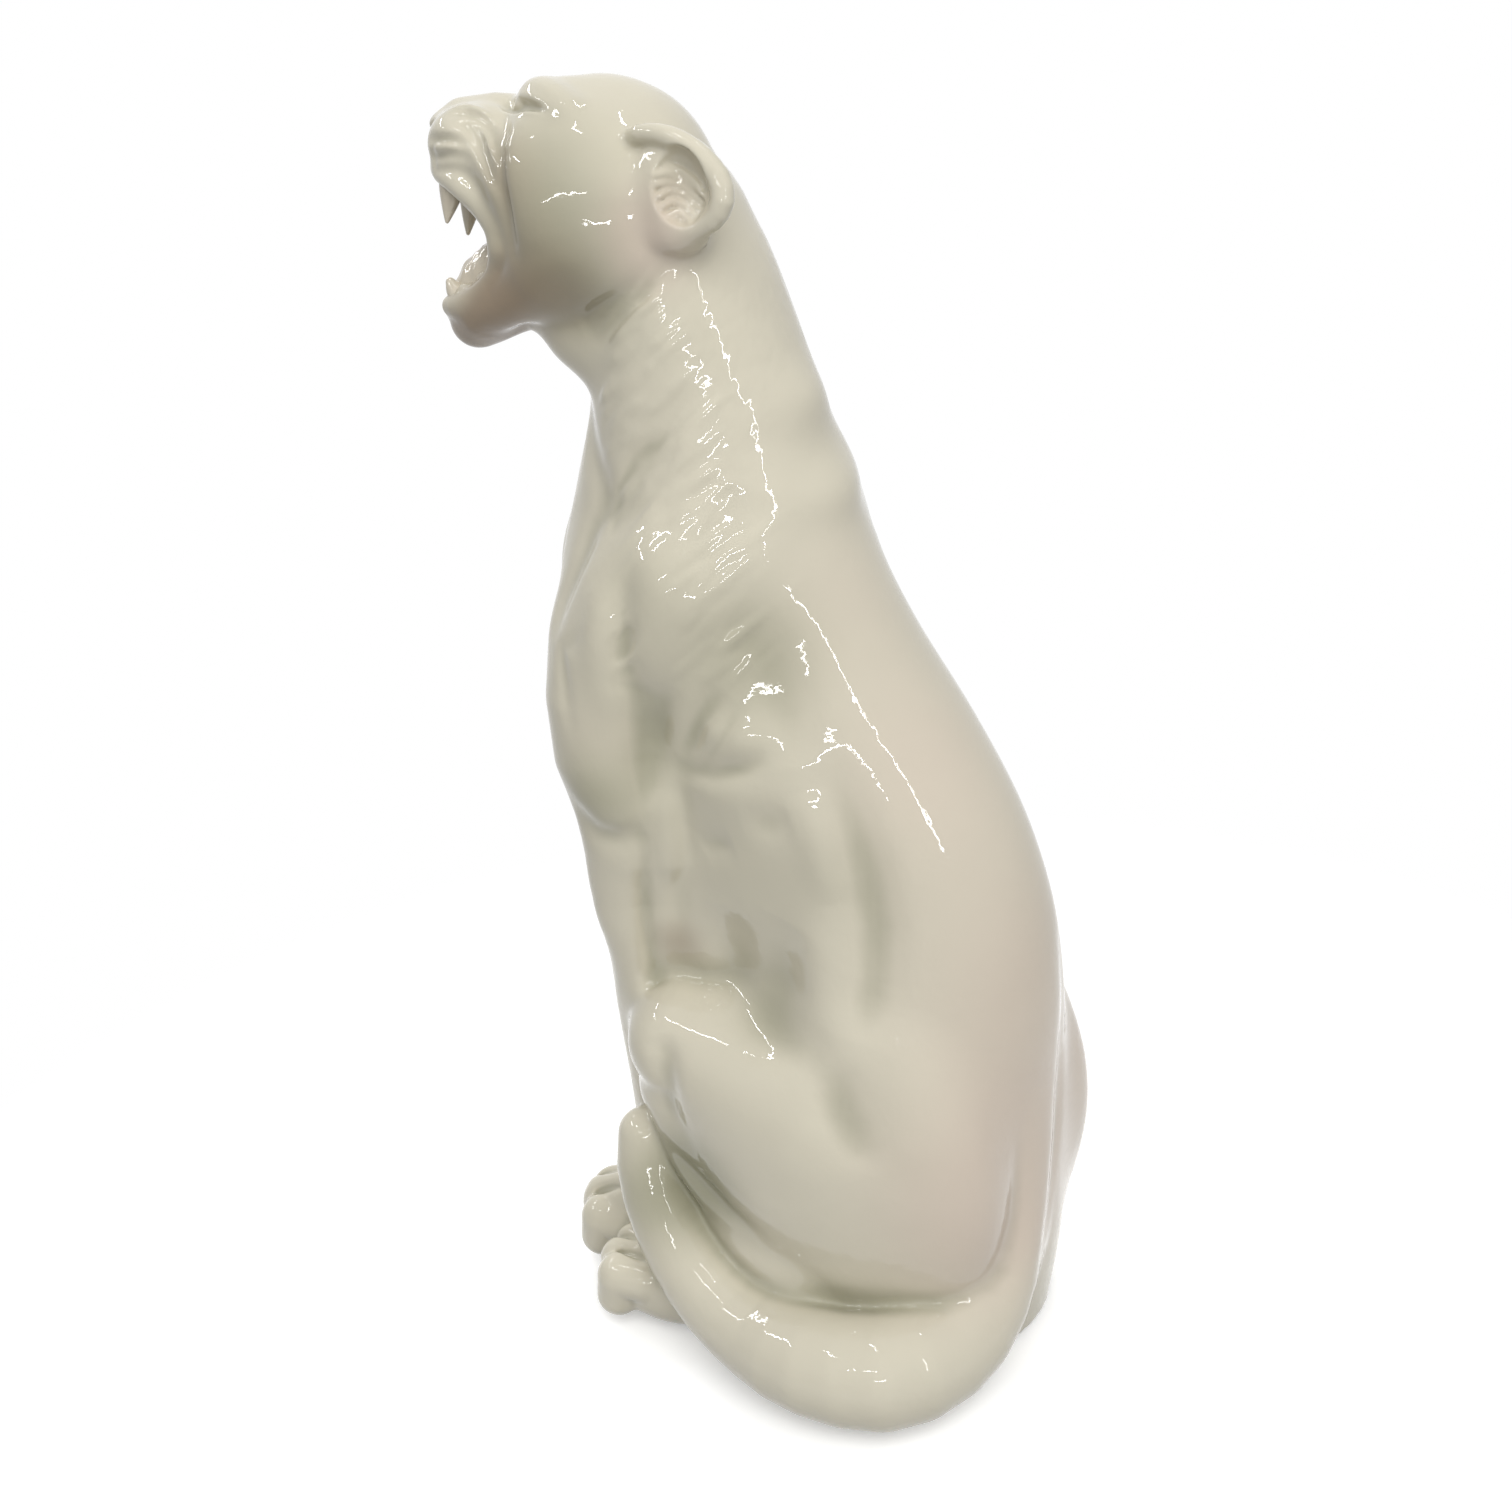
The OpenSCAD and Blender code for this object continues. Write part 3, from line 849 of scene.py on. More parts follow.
def settle(clay, verts, quads, rim):
    """Evens the vertices out, then draws them back onto the surface."""
    edges = links(quads)
    free = np.ones_like(verts)
    free[rim, 2] = 0
    for _ in range(3):
        verts = verts + free * EASING * (near_mean(verts, edges) - verts) * ~rim[:, None]
        for _ in range(2):
            gap = clay.read(clay.far, verts)
            facing = clay.slope(verts, clay.cell * SLOPE_STEP) * free
            size2 = np.maximum((facing**2).sum(1), LEAST_SLOPE)
            move = np.clip(gap / size2, -clay.cell, clay.cell)
            verts = verts - move[:, None] * facing
    facing = clay.slope(verts, clay.cell)
    facing /= np.maximum(np.linalg.norm(facing, axis=1), 1e-6)[:, None]
    return verts, facing


skins = []
for clay, ends in ((body_clay, (0, body_floors + 1)), (head_clay, (SPARE, None))):
    verts, quads, rim = skin(clay, *ends)
    verts, facing = settle(clay, verts, quads, rim)
    skins.append((clay, verts, quads, facing))
    print("skin of", len(verts), "vertices and", len(quads), "quads")

# %% [markdown]
# ## Where the glaze gathers
# Glaze runs off the ridges and pools in the hollows while it melts. A hollow is where the distance at the
# surface is more than its mean nearby, so blurring the block and comparing gives a value for pooling, once
# for narrow folds and once for wide basins. Four more values mark a warm blush that is partly sprayed on and
# partly a painted pink highlight and reflection, brown on the chin with painted shade on cheeks, jaw and ear
# bowls, grey-green patches that are partly thicker glaze and partly painted shade, and the combed fur. All
# six go into the mesh as point values that the glaze reads later.

# %% Pooling, blush, painted sheen and painted shade
DEEP_ENOUGH = 40


def blurred(grid, turns):
    for _ in range(turns):
        for axis in range(3):
            one = np.swapaxes(grid, 0, axis)
            inner = (one[:-2] + 2 * one[1:-1] + one[2:]) / 4
            one[1:-1] = inner
    return grid


def pooling(clay, verts, step, turns):
    """How hollow the surface is at each vertex, in millimetres."""
    coarse = Clay((0, 0, 0), (1, 1, 1), clay.cell * step)
    coarse.low = clay.low
    coarse.count = np.array(clay.far[::step, ::step, ::step].shape)
    grid = np.clip(clay.far[::step, ::step, ::step], -DEEP_ENOUGH, DEEP_ENOUGH)
    before = coarse.read(grid, verts)
    return before - coarse.read(blurred(grid.copy(), turns), verts)


def warmth(verts, spots):
    """Soft round patches, strongest in the middle."""
    total = np.zeros(len(verts))
    for middle, reach, strength in spots:
        total += strength * np.exp(-((verts - middle) ** 2).sum(1) / reach**2)
    return np.clip(total, 0, 1)


def patches(rows, head=False, sides=SIDES):
    """Soft patches as middle, reach and strength, from rows of x, y, z, reach and strength."""
    return [
        (seat((x, y, z), side, head), reach, strength)
        for x, y, z, reach, strength in rows for side in sides
    ]


# Warm pink patches on rump, back and cheek: partly a sprayed blush, partly a painted pink highlight and
# reflection.
BLUSH_AND_SHEEN = patches([(60, 160, 150, 85, 0.9)]) + patches([(69, 2, -17, 34, 0.9)], head=True) + patches([
    (20, 170, 300, 90, 0.6), (20, 60, 540, 60, 0.35), (33, 121, 440, 70, 0.5), (110, -70, 460, 40, 0.3),
], sides=(1,))
# Brown patches: brown on chin, nose tip and an ochre tint by the foreleg, with painted shade on cheeks, jaw,
# chin and ear bowls.
SHADE = patches([(86, -49, 305, 24, 0.5)]) + patches([
    (20, -104, -62, 22, 0.7), (68, -66, -32, 52, 0.42), (56, -74, 30, 30, 0.4),
    (40, -92, -44, 28, 0.5), (52, -46, -52, 34, 0.2),
], head=True) + patches([
    (0, -122, -64, 26, 1.0), (66, 24, 10, 18, 0.35), (-75, 4, 6, 18, 0.35), (0, -140, 64, 9, 0.8),
], head=True, sides=(1,))
# Grey-green patches: partly thicker glaze, partly painted shade on arm, shoulder, flank, thigh, paw, neck and
# cheeks.
THICK_GLAZE_AND_SHADE = patches([
    (123, -75, 421, 34, 0.4), (71, 29, 516, 44, 0.35), (93, 27, 273, 34, 0.5), (119, -31, 142, 46, 0.9),
    (104, -30, 470, 120, 0.32), (95, 10, 350, 60, 0.2), (130, -77, 118, 40, 0.4), (50, 0, 700, 40, 0.2),
    (80, 90, 372, 40, 0.2), (90, -76, 815, 64, 0.4), (103, -31, 566, 34, 0.2),
]) + patches([(70, -60, -26, 56, 0.5), (52, -46, -54, 36, 0.35)], head=True)
COMBED = patches([
    (50, -6, 710, 50, 1.0), (62, -20, 655, 52, 1.0), (80, -20, 600, 50, 1.0), (95, -30, 545, 44, 1.0),
])
print("patches: blush", len(BLUSH_AND_SHEEN), "shade", len(SHADE), "thick", len(THICK_GLAZE_AND_SHADE), "combed", len(COMBED))

# %% [markdown]
# ## Back to separate castings
# Every point of the block knows which lump is nearest, so each quad can be given back to its casting. A
# vote among neighbours calms the borders. Each casting is closed by a lip turned inwards and a fan of
# triangles inside the body, where the luted joint is. It keeps the facing of the whole skin, so that the
# joints don't show.

# %% Make one casting
LIP_DEPTH = 7
LIP_CORNERS = 4 + 3
FAN_DEPTH = 0.25


def closed(name, verts, quads, facing, values):
    """A mesh piece of some quads of a skin, closed inside, with its point values."""
    used, quads = np.unique(quads, return_inverse=True)
    quads = quads.reshape(-1, 4)
    verts, facing = verts[used], facing[used]
    one_way = np.concatenate([quads[:, [i, (i + 1) % 4]] for i in range(4)])
    key = one_way[:, 0] * np.int64(len(verts)) + one_way[:, 1]
    back = one_way[:, 1] * np.int64(len(verts)) + one_way[:, 0]
    border = one_way[~np.isin(key, back)]
    faces = quads.tolist()
    points = ((verts + MIDDLE) * MM).tolist()
    normals = [facing[i] for i in quads.ravel()]
    loop_of = {}
    for a, b in border:
        loop_of.setdefault(a, []).append((a, b))
    left = {tuple(e) for e in border}
    middle = verts.mean(0)
    while left:
        ring, todo = [], [next(iter(left))[0]]
        while todo:
            for e in loop_of.get(todo.pop(), []):
                if tuple(e) in left:
                    left.discard(tuple(e))
                    ring.append(e)
                    todo.append(e[1])
        edge = sorted({int(a) for a, _ in ring} | {int(b) for _, b in ring})
        sunk = {a: len(points) + i for i, a in enumerate(edge)}
        inner = verts[edge] - LIP_DEPTH * facing[edge]
        heart = inner.mean(0) + FAN_DEPTH * (middle - inner.mean(0))
        points += ((np.vstack([inner, heart]) + MIDDLE) * MM).tolist()
        for a, b in ring:
            a, b = int(a), int(b)
            faces += [[b, a, sunk[a], sunk[b]], [sunk[b], sunk[a], len(points) - 1]]
            flat = np.cross(verts[a] - verts[b], heart - verts[b])
            normals += [flat / max(np.linalg.norm(flat), 1e-6)] * LIP_CORNERS
    mesh = bpy.data.meshes.new(name)
    mesh.from_pydata(points, [], faces)
    mesh.polygons.foreach_set("use_smooth", [True] * len(faces))
    mesh.normals_split_custom_set([tuple(n) for n in normals])
    for label, value in values.items():
        layer = mesh.attributes.new(label, "FLOAT", "POINT")
        row = np.zeros(len(points), np.float32)
        row[:len(used)] = value[used]
        layer.data.foreach_set("value", row)
    return put(name, mesh)


def shown(piece, node):
    """A piece that stands for a solid: it rides on the one body, and the solid is hidden."""
    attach(piece, "root")
    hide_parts(node)
    return piece


# %% Split the skins into castings
VOTES = 10
OWN_VOTE = 0.3
glazed = []
for clay, verts, quads, facing in skins:
    values = {
        "pool": np.clip(pooling(clay, verts, 1, 6), -4, 4),
        "basin": np.clip(pooling(clay, verts, 3 if clay is body_clay else 4, 8), -12, 12),
        "blush_and_sheen": warmth(verts, BLUSH_AND_SHEEN),
        "shade": warmth(verts, SHADE),
        "thick": warmth(verts, THICK_GLAZE_AND_SHADE),
        "combed": warmth(verts, COMBED),
    }
    place = np.clip(np.rint((verts - clay.low) / clay.cell).astype(int), 0, clay.count - 1)
    votes = np.eye(len(CASTINGS))[clay.owner[tuple(place.T)]]
    edges = links(quads)
    for _ in range(VOTES):
        votes = OWN_VOTE * votes + (1 - OWN_VOTE) * near_mean(votes, edges)
    owner = votes[quads].sum(1).argmax(1)
    for i in np.unique(owner):
        piece = closed(CASTINGS[i] + "_glazed", verts, quads[owner == i], facing, values)
        glazed.append(shown(piece, CASTINGS[i]))
        print(piece.name, len(piece.data.polygons), "faces")

# %% [markdown]
# ## Teeth and tongue
# These are set in by hand on the real statue, each its own lump. They are small, so each gets a small fine
# block in the head's own axes, and its skin is then turned with the head.

# %% Small pieces of the mouth
def mouth_piece(node, low, high, cell, lumps):
    """A small piece modelled in the head's own axes."""
    clay = Clay(low, high, cell)
    lumps(clay)
    verts, quads, rim = skin(clay)
    verts, facing = settle(clay, verts, quads, rim)
    values = {"pool": np.clip(pooling(clay, verts, 1, 5), -4, 4)}
    verts, facing = verts @ HEAD_TURN.T + HEAD_AT, facing @ HEAD_TURN.T
    piece = closed(node + "_glazed", verts, quads, facing, values)
    print(piece.name, len(piece.data.polygons), "faces")
    return shown(piece, node)


def canine(path):
    """A fang along a path, with a faint groove down each side."""
    def lumps(clay):
        tube(clay, path, 0, "head_casting", rings=12)
        for k in (-1, 1):
            line = [(p[0] + k * p[3] * 0.9, p[1] + p[3] * 0.4, p[2]) for p in path]
            crease(clay, line, 1.6, 0.5, rings=8)
    return lumps


TOOTH_CELL = 0.8
CANINES = {
    "upper_left_canine": [
        (21, -117, 38, 9), (21, -121, 27, 8.6), (21, -124, 16, 5.6), (21.5, -127, 4, 1.4),
    ],
    "upper_right_canine": [
        (-21, -117, 36, 9), (-21, -121, 24, 8.6), (-21, -124, 12, 5.6), (-21.5, -127, -2, 1.4),
    ],
    "lower_left_canine": [
        (17, -118, -48, 7), (17, -123, -43, 7), (17, -127, -38, 5.8), (17, -130, -32, 3),
    ],
    "lower_right_canine": [
        (-17, -118, -50, 7), (-17, -123, -45, 7), (-17, -127, -41, 5.8), (-17, -130, -36, 3),
    ],
}
mouth_pieces = []
for node, path in CANINES.items():
    balls = np.array(path)
    low = (balls[:, :3] - balls[:, 3:]).min(0) - 3
    high = (balls[:, :3] + balls[:, 3:]).max(0) + 3
    mouth_pieces.append(mouth_piece(node, low, high, TOOTH_CELL, canine(path)))

# %% Incisors and tongue
def incisors(y, z, half, down):
    """Six small teeth in a bow on a strip of gum."""
    def lumps(clay):
        for i in range(6):
            x = half * (i - 2.5) / 2.5
            back = 0.02 * x * x
            tube(clay, [(x, y + back, z, 2.7), (x, y - 1.5 + back, z + down, 1.9)], 0.6, "head_casting")
        gum = [(x, y + out, z - 0.6 * down, 3.2) for x, out in ((-half, 3), (0, 1), (half, 3))]
        tube(clay, gum, 1, "head_casting", rings=7)
    return lumps


def tongue(clay):
    """A broad tongue with a furrow down the middle and small bumps."""
    body = [(0, -62, -26, 15), (0, -84, -22, 16), (0, -100, -25, 15), (0, -111, -31, 13), (0, -120, -37, 10)]
    for x in (-9, 0, 9):
        tube(clay, [(x, y, z, r) for _, y, z, r in body], 8, "head_casting", rings=10)
    crease(clay, [(0, -62, -11), (0, -84, -6), (0, -100, -10), (0, -112, -20)], 4, 3, rings=9)
    chance = np.random.default_rng(5)
    for _ in range(90):
        x, y = chance.uniform(-22, 22), chance.uniform(-122, -70)
        swell(clay, (x, y, -14 - 0.5 * max(0, -100 - y) - 0.02 * x * x), (2.4, 2.4, 9), 1.1)


for row in (
    ("upper_incisors", (-20, -140, 8), (20, -112, 40), TOOTH_CELL, incisors(-128, 26, 12, -7)),
    ("lower_incisors", (-18, -142, -54), (18, -116, -24), TOOTH_CELL, incisors(-131, -41, 9, 6)),
    ("tongue", (-36, -134, -58), (36, -40, 2), 1.2, tongue),
):
    mouth_pieces.append(mouth_piece(*row))

# %% [markdown]
# ## Base plate and bumpers
# Underneath, a slab closes the torso. It has a round vent, because air in a closed casting would burst it
# in the kiln. Six soft discs keep the glaze off the shelf. Both are turned or cut shapes, so rings of
# points are enough.

# %% Rings joined into a skin
def turned(name, rings, ring_ends):
    """Rings of equal length joined in order; ring_ends says whether the first and last are closed."""
    mesh = bpy.data.meshes.new(name)
    made = bmesh.new()
    rows = [[made.verts.new(placed(p)) for p in ring] for ring in rings]
    pairs = list(zip(rows[:-1], rows[1:]))
    if ring_ends == "joined":
        pairs.append((rows[-1], rows[0]))
    for lower, upper in pairs:
        for i in range(len(lower)):
            k = (i + 1) % len(lower)
            made.faces.new((lower[i], lower[k], upper[k], upper[i]))
    if ring_ends == "closed":
        made.faces.new(rows[0][::-1])
        made.faces.new(rows[-1])
    bmesh.ops.recalc_face_normals(made, faces=made.faces)
    made.to_mesh(mesh)
    made.free()
    mesh.polygons.foreach_set("use_smooth", [True] * len(mesh.polygons))
    return put(name, mesh)


PLATE_AT = (0, 77)
PLATE_WIDE, PLATE_DEEP = 82, 74
PLATE_EDGE = [(1.5, -0.6), (0.4, 0), (0, 1), (0, 9), (1, 10)]
VENT_EDGE = [(17, 10), (16, 9), (16, 0.8), (16.6, -0.2), (18, -0.6)]
around = np.linspace(0, 2 * math.pi, 96, endpoint=False)


def ring(middle, wide, deep, z, turns=around):
    """Points of an oval at a height."""
    return [(middle[0] + wide * math.cos(a), middle[1] + deep * math.sin(a), z) for a in turns]


outside = [ring(PLATE_AT, PLATE_WIDE - inset, PLATE_DEEP - inset, SOLE + z) for inset, z in PLATE_EDGE]
inside = [ring(PLATE_AT, r, r, SOLE + z) for r, z in VENT_EDGE]
plate = turned("base_plate_glazed", outside + inside, "joined")
shown(plate, "base_plate")
print(plate.name, len(plate.data.polygons), "faces")

# %% Bumper feet
BUMPERS = [(x * side, y) for x, y in ((48, -124), (98, -74), (52, 112)) for side in SIDES]
DISC_EDGE = [(3, 0), (7.2, 0), (8.4, 0.5), (9, 1.6), (9, 4), (8.7, SOLE), (4, SOLE)]
discs = []
for i, middle in enumerate(BUMPERS):
    rings = [ring(middle, r, r, z, around[::3]) for r, z in DISC_EDGE]
    discs.append(turned("bumper_%d" % i, rings, "closed"))
with bpy.context.temp_override(active_object=discs[0], selected_editable_objects=discs):
    bpy.ops.object.join()
bumpers = discs[0]
bumpers.name = "bumper_feet_soft"
shown(bumpers, "bumper_feet")
print(bumpers.name, len(bumpers.data.polygons), "faces")

# %% [markdown]
# ## Glaze
# The glaze is a cream tin glaze: even, milky and very glossy. It turns grey-green where it pools or lies
# thicker, and grey-green painted shade darkens parts of the arm, flank, thigh and cheeks. A sprayed blush,
# partly a painted pink highlight and reflection, warms cheeks, back and rump. The chin is brown, and
# painted brown shade darkens cheeks, jaw and ear bowls. A fine unevenness of the surface breaks the lamps
# into jagged glints.

# %% Node helpers
def new_material(name):
    material = bpy.data.materials.new(name)
    material.use_nodes = True
    tree = material.node_tree
    return material, tree, tree.nodes["Principled BSDF"]


def linear(r, g, b):
    """An eight-bit screen colour as Blender's linear colour."""
    c = np.array([r, g, b]) / 255
    return (*np.where(c <= 0.04045, c / 12.92, ((c + 0.055) / 1.055) ** 2.4), 1)


def point_value(tree, label, low, high):
    """A point value of the mesh, brought to between 0 and 1."""
    value = tree.nodes.new("ShaderNodeAttribute")
    value.attribute_name = label
    ramp = tree.nodes.new("ShaderNodeMapRange")
    ramp.interpolation_type = "SMOOTHSTEP"
    ramp.inputs["From Min"].default_value = low
    ramp.inputs["From Max"].default_value = high
    tree.links.new(value.outputs["Fac"], ramp.inputs["Value"])
    return ramp.outputs["Result"]


def mixed(tree, share, first, second):
    """Two colours mixed by a share; each is a colour or a socket."""
    mix = tree.nodes.new("ShaderNodeMix")
    mix.data_type = "RGBA"
    for value, socket in ((share, mix.inputs[0]), (first, mix.inputs[6]), (second, mix.inputs[7])):
        if isinstance(value, (float, int, tuple)):
            socket.default_value = value
        else:
            tree.links.new(value, socket)
    return mix.outputs[2]


def noise(tree, scale, detail, stretch=(1, 1, 1), turn=NO_TURN):
    """Soft chance values between 0 and 1, finer with a larger scale."""
    place = tree.nodes.new("ShaderNodeTexCoord")
    stretched = tree.nodes.new("ShaderNodeMapping")
    stretched.vector_type = "TEXTURE"
    stretched.inputs["Scale"].default_value = stretch
    stretched.inputs["Rotation"].default_value = turn
    grain = tree.nodes.new("ShaderNodeTexNoise")
    grain.inputs["Scale"].default_value = scale
    grain.inputs["Detail"].default_value = detail
    tree.links.new(place.outputs["Object"], stretched.inputs["Vector"])
    tree.links.new(stretched.outputs["Vector"], grain.inputs["Vector"])
    return grain.outputs["Fac"]


def ranged(tree, value, low, high, out_low, out_high):
    """A value moved from one range to another, and held at its ends."""
    ramp = tree.nodes.new("ShaderNodeMapRange")
    labels = ("From Min", "From Max", "To Min", "To Max")
    for label, number in zip(labels, (low, high, out_low, out_high)):
        ramp.inputs[label].default_value = number
    tree.links.new(value, ramp.inputs["Value"])
    return ramp.outputs["Result"]


def bumped(tree, height, strength, distance, under=None):
    """A surface made uneven by a height, on top of another unevenness if one is given."""
    bump = tree.nodes.new("ShaderNodeBump")
    bump.inputs["Strength"].default_value = strength
    bump.inputs["Distance"].default_value = distance
    tree.links.new(height, bump.inputs["Height"])
    if under is not None:
        tree.links.new(under, bump.inputs["Normal"])
    return bump.outputs["Normal"]


def mottled(tree, scale, first, second, low=0.35):
    """Two colours in soft spots."""
    return mixed(tree, ranged(tree, noise(tree, scale, 3), low, 0.7, 0, 1), first, second)


def tinted(tree, tone, colour, label, low, high, most):
    """A tone turned towards a colour where a point value of the mesh rises from low to high."""
    return mixed(tree, ranged(tree, point_value(tree, label, low, high), 0, 1, 0, most), tone, colour)


def uneven_gloss(tree, shader, scale, low, high):
    """A roughness that wanders between two values."""
    tree.links.new(ranged(tree, noise(tree, scale, 2), 0.3, 0.7, low, high), shader.inputs["Roughness"])


def coat(pieces, material):
    """Gives pieces one material in place of any other."""
    for piece in pieces:
        piece.data.materials.clear()
        piece.data.materials.append(material)


print("node helpers are ready")

# %% Cream glaze
CREAM = linear(209, 203, 184)
POOLED_GLAZE_AND_SHADE = linear(146, 144, 121)
WARM_BLUSH_AND_SHEEN = linear(203, 187, 173)
BROWN = linear(124, 100, 74)
# Pooling is the glaze's own; the blush row is partly a painted highlight, the thick and shade rows partly
# painted shade.
TINTS = [
    (WARM_BLUSH_AND_SHEEN, "blush_and_sheen", 0.05, 0.9, 0.75), (POOLED_GLAZE_AND_SHADE, "basin", 0.4, 4.5, 0.6), (POOLED_GLAZE_AND_SHADE, "pool", 0.1, 1.6, 0.5),
    (POOLED_GLAZE_AND_SHADE, "thick", 0.05, 0.95, 0.9), (BROWN, "shade", 0.1, 0.9, 0.8),
]


def cream_glaze(name):
    material, tree, glaze = new_material(name)
    tone = mottled(tree, 9, CREAM, tuple(0.93 * c for c in CREAM[:3]) + (1,))
    for colour, label, low, high, most in TINTS:
        tone = tinted(tree, tone, colour, label, low, high, most)
    tree.links.new(tone, glaze.inputs["Base Color"])
    uneven_gloss(tree, glaze, 60, 0.02, 0.06)
    wave = bumped(tree, noise(tree, 40, 2), 1, 0.0003)
    strands = tree.nodes.new("ShaderNodeMath")
    strands.operation = "MULTIPLY"
    tree.links.new(noise(tree, 95, 1, stretch=(1, 12, 1), turn=(0.75, 0, 0)), strands.inputs[0])
    tree.links.new(point_value(tree, "combed", 0.1, 0.8), strands.inputs[1])
    wave = bumped(tree, strands.outputs[0], 1, 0.0009, wave)
    peel = bumped(tree, noise(tree, 170, 1), 1, 0.00013, wave)
    tree.links.new(peel, glaze.inputs["Normal"])
    glaze.inputs["IOR"].default_value = 1.45
    return material


coat(glazed + [plate], cream_glaze("cream_glaze"))
print("glaze on", len(glazed) + 1, "pieces")

# %% Mouth glaze and rubber
def mouth_glaze(name):
    material, tree, glaze = new_material(name)
    tone = mottled(tree, 30, linear(204, 196, 178), linear(190, 180, 162))
    tone = tinted(tree, tone, linear(150, 142, 124), "pool", 0.05, 0.9, 0.7)
    tree.links.new(tone, glaze.inputs["Base Color"])
    uneven_gloss(tree, glaze, 90, 0.05, 0.12)
    tree.links.new(bumped(tree, noise(tree, 180, 2), 0.2, 0.0005), glaze.inputs["Normal"])
    glaze.inputs["IOR"].default_value = 1.52
    return material


def soft_rubber(name):
    material, tree, rubber = new_material(name)
    tone = mottled(tree, 250, linear(44, 40, 37), linear(62, 57, 52), low=0.3)
    tree.links.new(tone, rubber.inputs["Base Color"])
    uneven_gloss(tree, rubber, 300, 0.6, 0.85)
    tree.links.new(bumped(tree, noise(tree, 900, 2), 0.3, 0.0002), rubber.inputs["Normal"])
    return material


coat(mouth_pieces, mouth_glaze("mouth_glaze"))
coat([bumpers], soft_rubber("bumper_rubber"))
print("mouth glaze on", len(mouth_pieces), "pieces")

# %% [markdown]
# ## Floor, room and lamps
# The statue was taken in a bright room and set on white. A pale floor keeps its shadow and fades out into a
# white room. The room's light is even and comes mostly from above; a few small lamps give the sharp glints.

# %% Floor
FLOOR_HALF = 1.2
FLOOR_DROP = 0.0005
FADE_FROM, FADE_TO = 0.35, 0.8
PALE = (0.93, 0.93, 0.93, 1)
BOUNCED = (0.4, 0.4, 0.39, 1)
WHITE = (1, 1, 1, 1)


def mixed_shader(tree, share, first, second):
    mix = tree.nodes.new("ShaderNodeMixShader")
    for i, socket in enumerate((share, first, second)):
        tree.links.new(socket, mix.inputs[i])
    return mix.outputs[0]


def floor_finish():
    """Paper that fades out around the statue and throws back less light than it shows."""
    material, tree, paper = new_material("pale_floor")
    for label, value in (
        ("Base Color", PALE), ("Roughness", 0.9), ("Specular IOR Level", 0),
        ("Emission Color", WHITE), ("Emission Strength", 0.3),
    ):
        paper.inputs[label].default_value = value
    clear = tree.nodes.new("ShaderNodeBsdfTransparent")
    place = tree.nodes.new("ShaderNodeTexCoord")
    reach = tree.nodes.new("ShaderNodeVectorMath")
    reach.operation = "LENGTH"
    tree.links.new(place.outputs["Object"], reach.inputs[0])
    fade = ranged(tree, reach.outputs["Value"], FADE_FROM, FADE_TO, 0, 1)
    both = mixed_shader(tree, fade, paper.outputs[0], clear.outputs[0])
    dull = tree.nodes.new("ShaderNodeBsdfDiffuse")
    dull.inputs["Color"].default_value = BOUNCED
    ray = tree.nodes.new("ShaderNodeLightPath")
    bounce = mixed_shader(tree, ray.outputs["Is Diffuse Ray"], both, dull.outputs[0])
    tree.links.new(bounce, tree.nodes["Material Output"].inputs["Surface"])
    return material


floor_mesh = bpy.data.meshes.new("floor")
corners = [(x * FLOOR_HALF, y * FLOOR_HALF, 0) for x, y in ((-1, -1), (1, -1), (1, 1), (-1, 1))]
floor_mesh.from_pydata(corners, [], [(0, 1, 2, 3)])
floor_mesh.materials.append(floor_finish())
floor = put("floor", floor_mesh)
floor.location.z = -FLOOR_DROP
print("floor", 2 * FLOOR_HALF, "m wide")

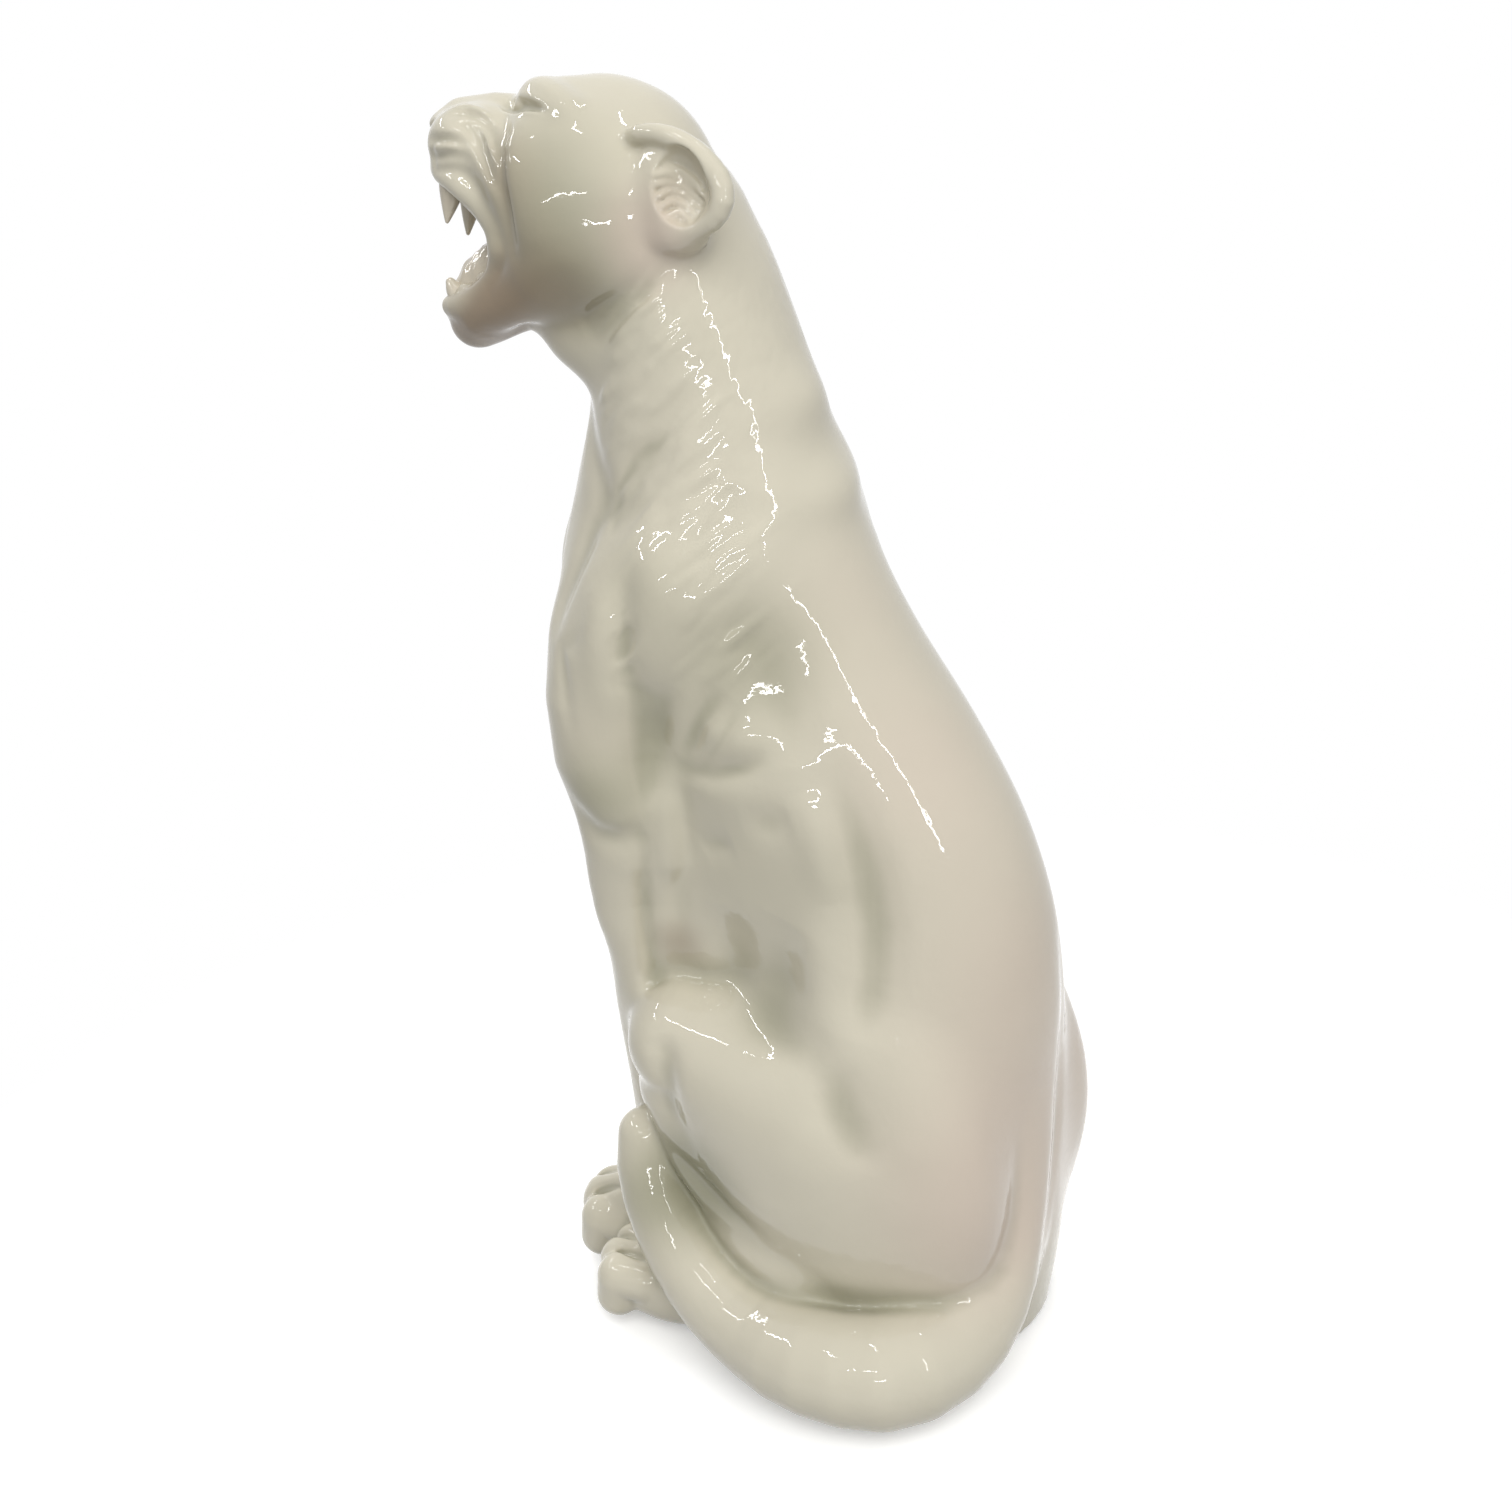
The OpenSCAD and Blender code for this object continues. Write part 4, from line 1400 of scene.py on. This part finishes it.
# %% Room
BRIGHTEST_FROM = (0.45, 0.35, 0.82)
SKY_DARK = (0.1, 0.1, 0.098, 1)
SKY_BRIGHT = (0.58, 0.58, 0.58, 1)
room = bpy.data.worlds.new("white_room")
bpy.context.scene.world = room
room.use_nodes = True
tree = room.node_tree
seen = tree.nodes["Background"]
seen.inputs["Color"].default_value = WHITE
lit = tree.nodes.new("ShaderNodeBackground")
way = tree.nodes.new("ShaderNodeTexCoord")
towards = tree.nodes.new("ShaderNodeVectorMath")
towards.operation = "DOT_PRODUCT"
towards.inputs[1].default_value = BRIGHTEST_FROM
tree.links.new(way.outputs["Generated"], towards.inputs[0])
height = ranged(tree, towards.outputs["Value"], -0.5, 0.9, 0, 1)
tree.links.new(mixed(tree, height, SKY_DARK, SKY_BRIGHT), lit.inputs["Color"])
path = tree.nodes.new("ShaderNodeLightPath")
plain = path.outputs["Is Camera Ray"]
for other in ("Is Glossy Ray", "Is Transmission Ray"):
    either = tree.nodes.new("ShaderNodeMath")
    either.operation = "MAXIMUM"
    tree.links.new(plain, either.inputs[0])
    tree.links.new(path.outputs[other], either.inputs[1])
    plain = either.outputs[0]
choice = mixed_shader(tree, plain, lit.outputs[0], seen.outputs[0])
tree.links.new(choice, tree.nodes["World Output"].inputs["Surface"])
print("room light is in place")

# %% Lamps
LAMP_AIM = Vector((0, 0, 0.42))
GLINTS = [(12, 29), (-14, 76), (-62, 38), (-97, 38), (145, 67), (-29, 50), (30, 12)]


def lamp(name, azimuth, height, away, size, power, mirrored):
    """An area lamp at a bearing from the statue's middle, facing it. Azimuth runs from left to back."""
    light = bpy.data.lights.new(name, "AREA")
    light.shape = "RECTANGLE"
    light.size, light.size_y = size
    light.energy = power
    a, h = math.radians(azimuth), math.radians(height)
    spot = Vector((math.cos(a) * math.cos(h), math.sin(a) * math.cos(h), math.sin(h)))
    turn = spot.to_track_quat("Z", "Y").to_matrix().to_4x4()
    thing = put(name, light)
    thing.matrix_world = Matrix.Translation(LAMP_AIM + spot * away) @ turn
    thing.visible_glossy = mirrored
    thing.visible_diffuse = not mirrored


lamp("soft_box", 44, 44, 4.2, (3.4, 3.4), 135, mirrored=False)
lamp("front_fill", -135, 30, 4.2, (3.4, 3.4), 130, mirrored=False)
lamp("long_glint", 66, 20, 2.6, (0.05, 1.2), 6, mirrored=True)
for i, (azimuth, height) in enumerate(GLINTS):
    lamp("glint_%d" % i, azimuth, height, 2.6, (0.9, 0.05), 5, mirrored=True)
print(len(GLINTS), "small lamps")

# %% [markdown]
# ## Finish
# The picture is shown through the plain Standard view transform.

# %% Finish
bpy.context.scene.view_settings.view_transform = "Standard"
bpy.context.view_layer.update()
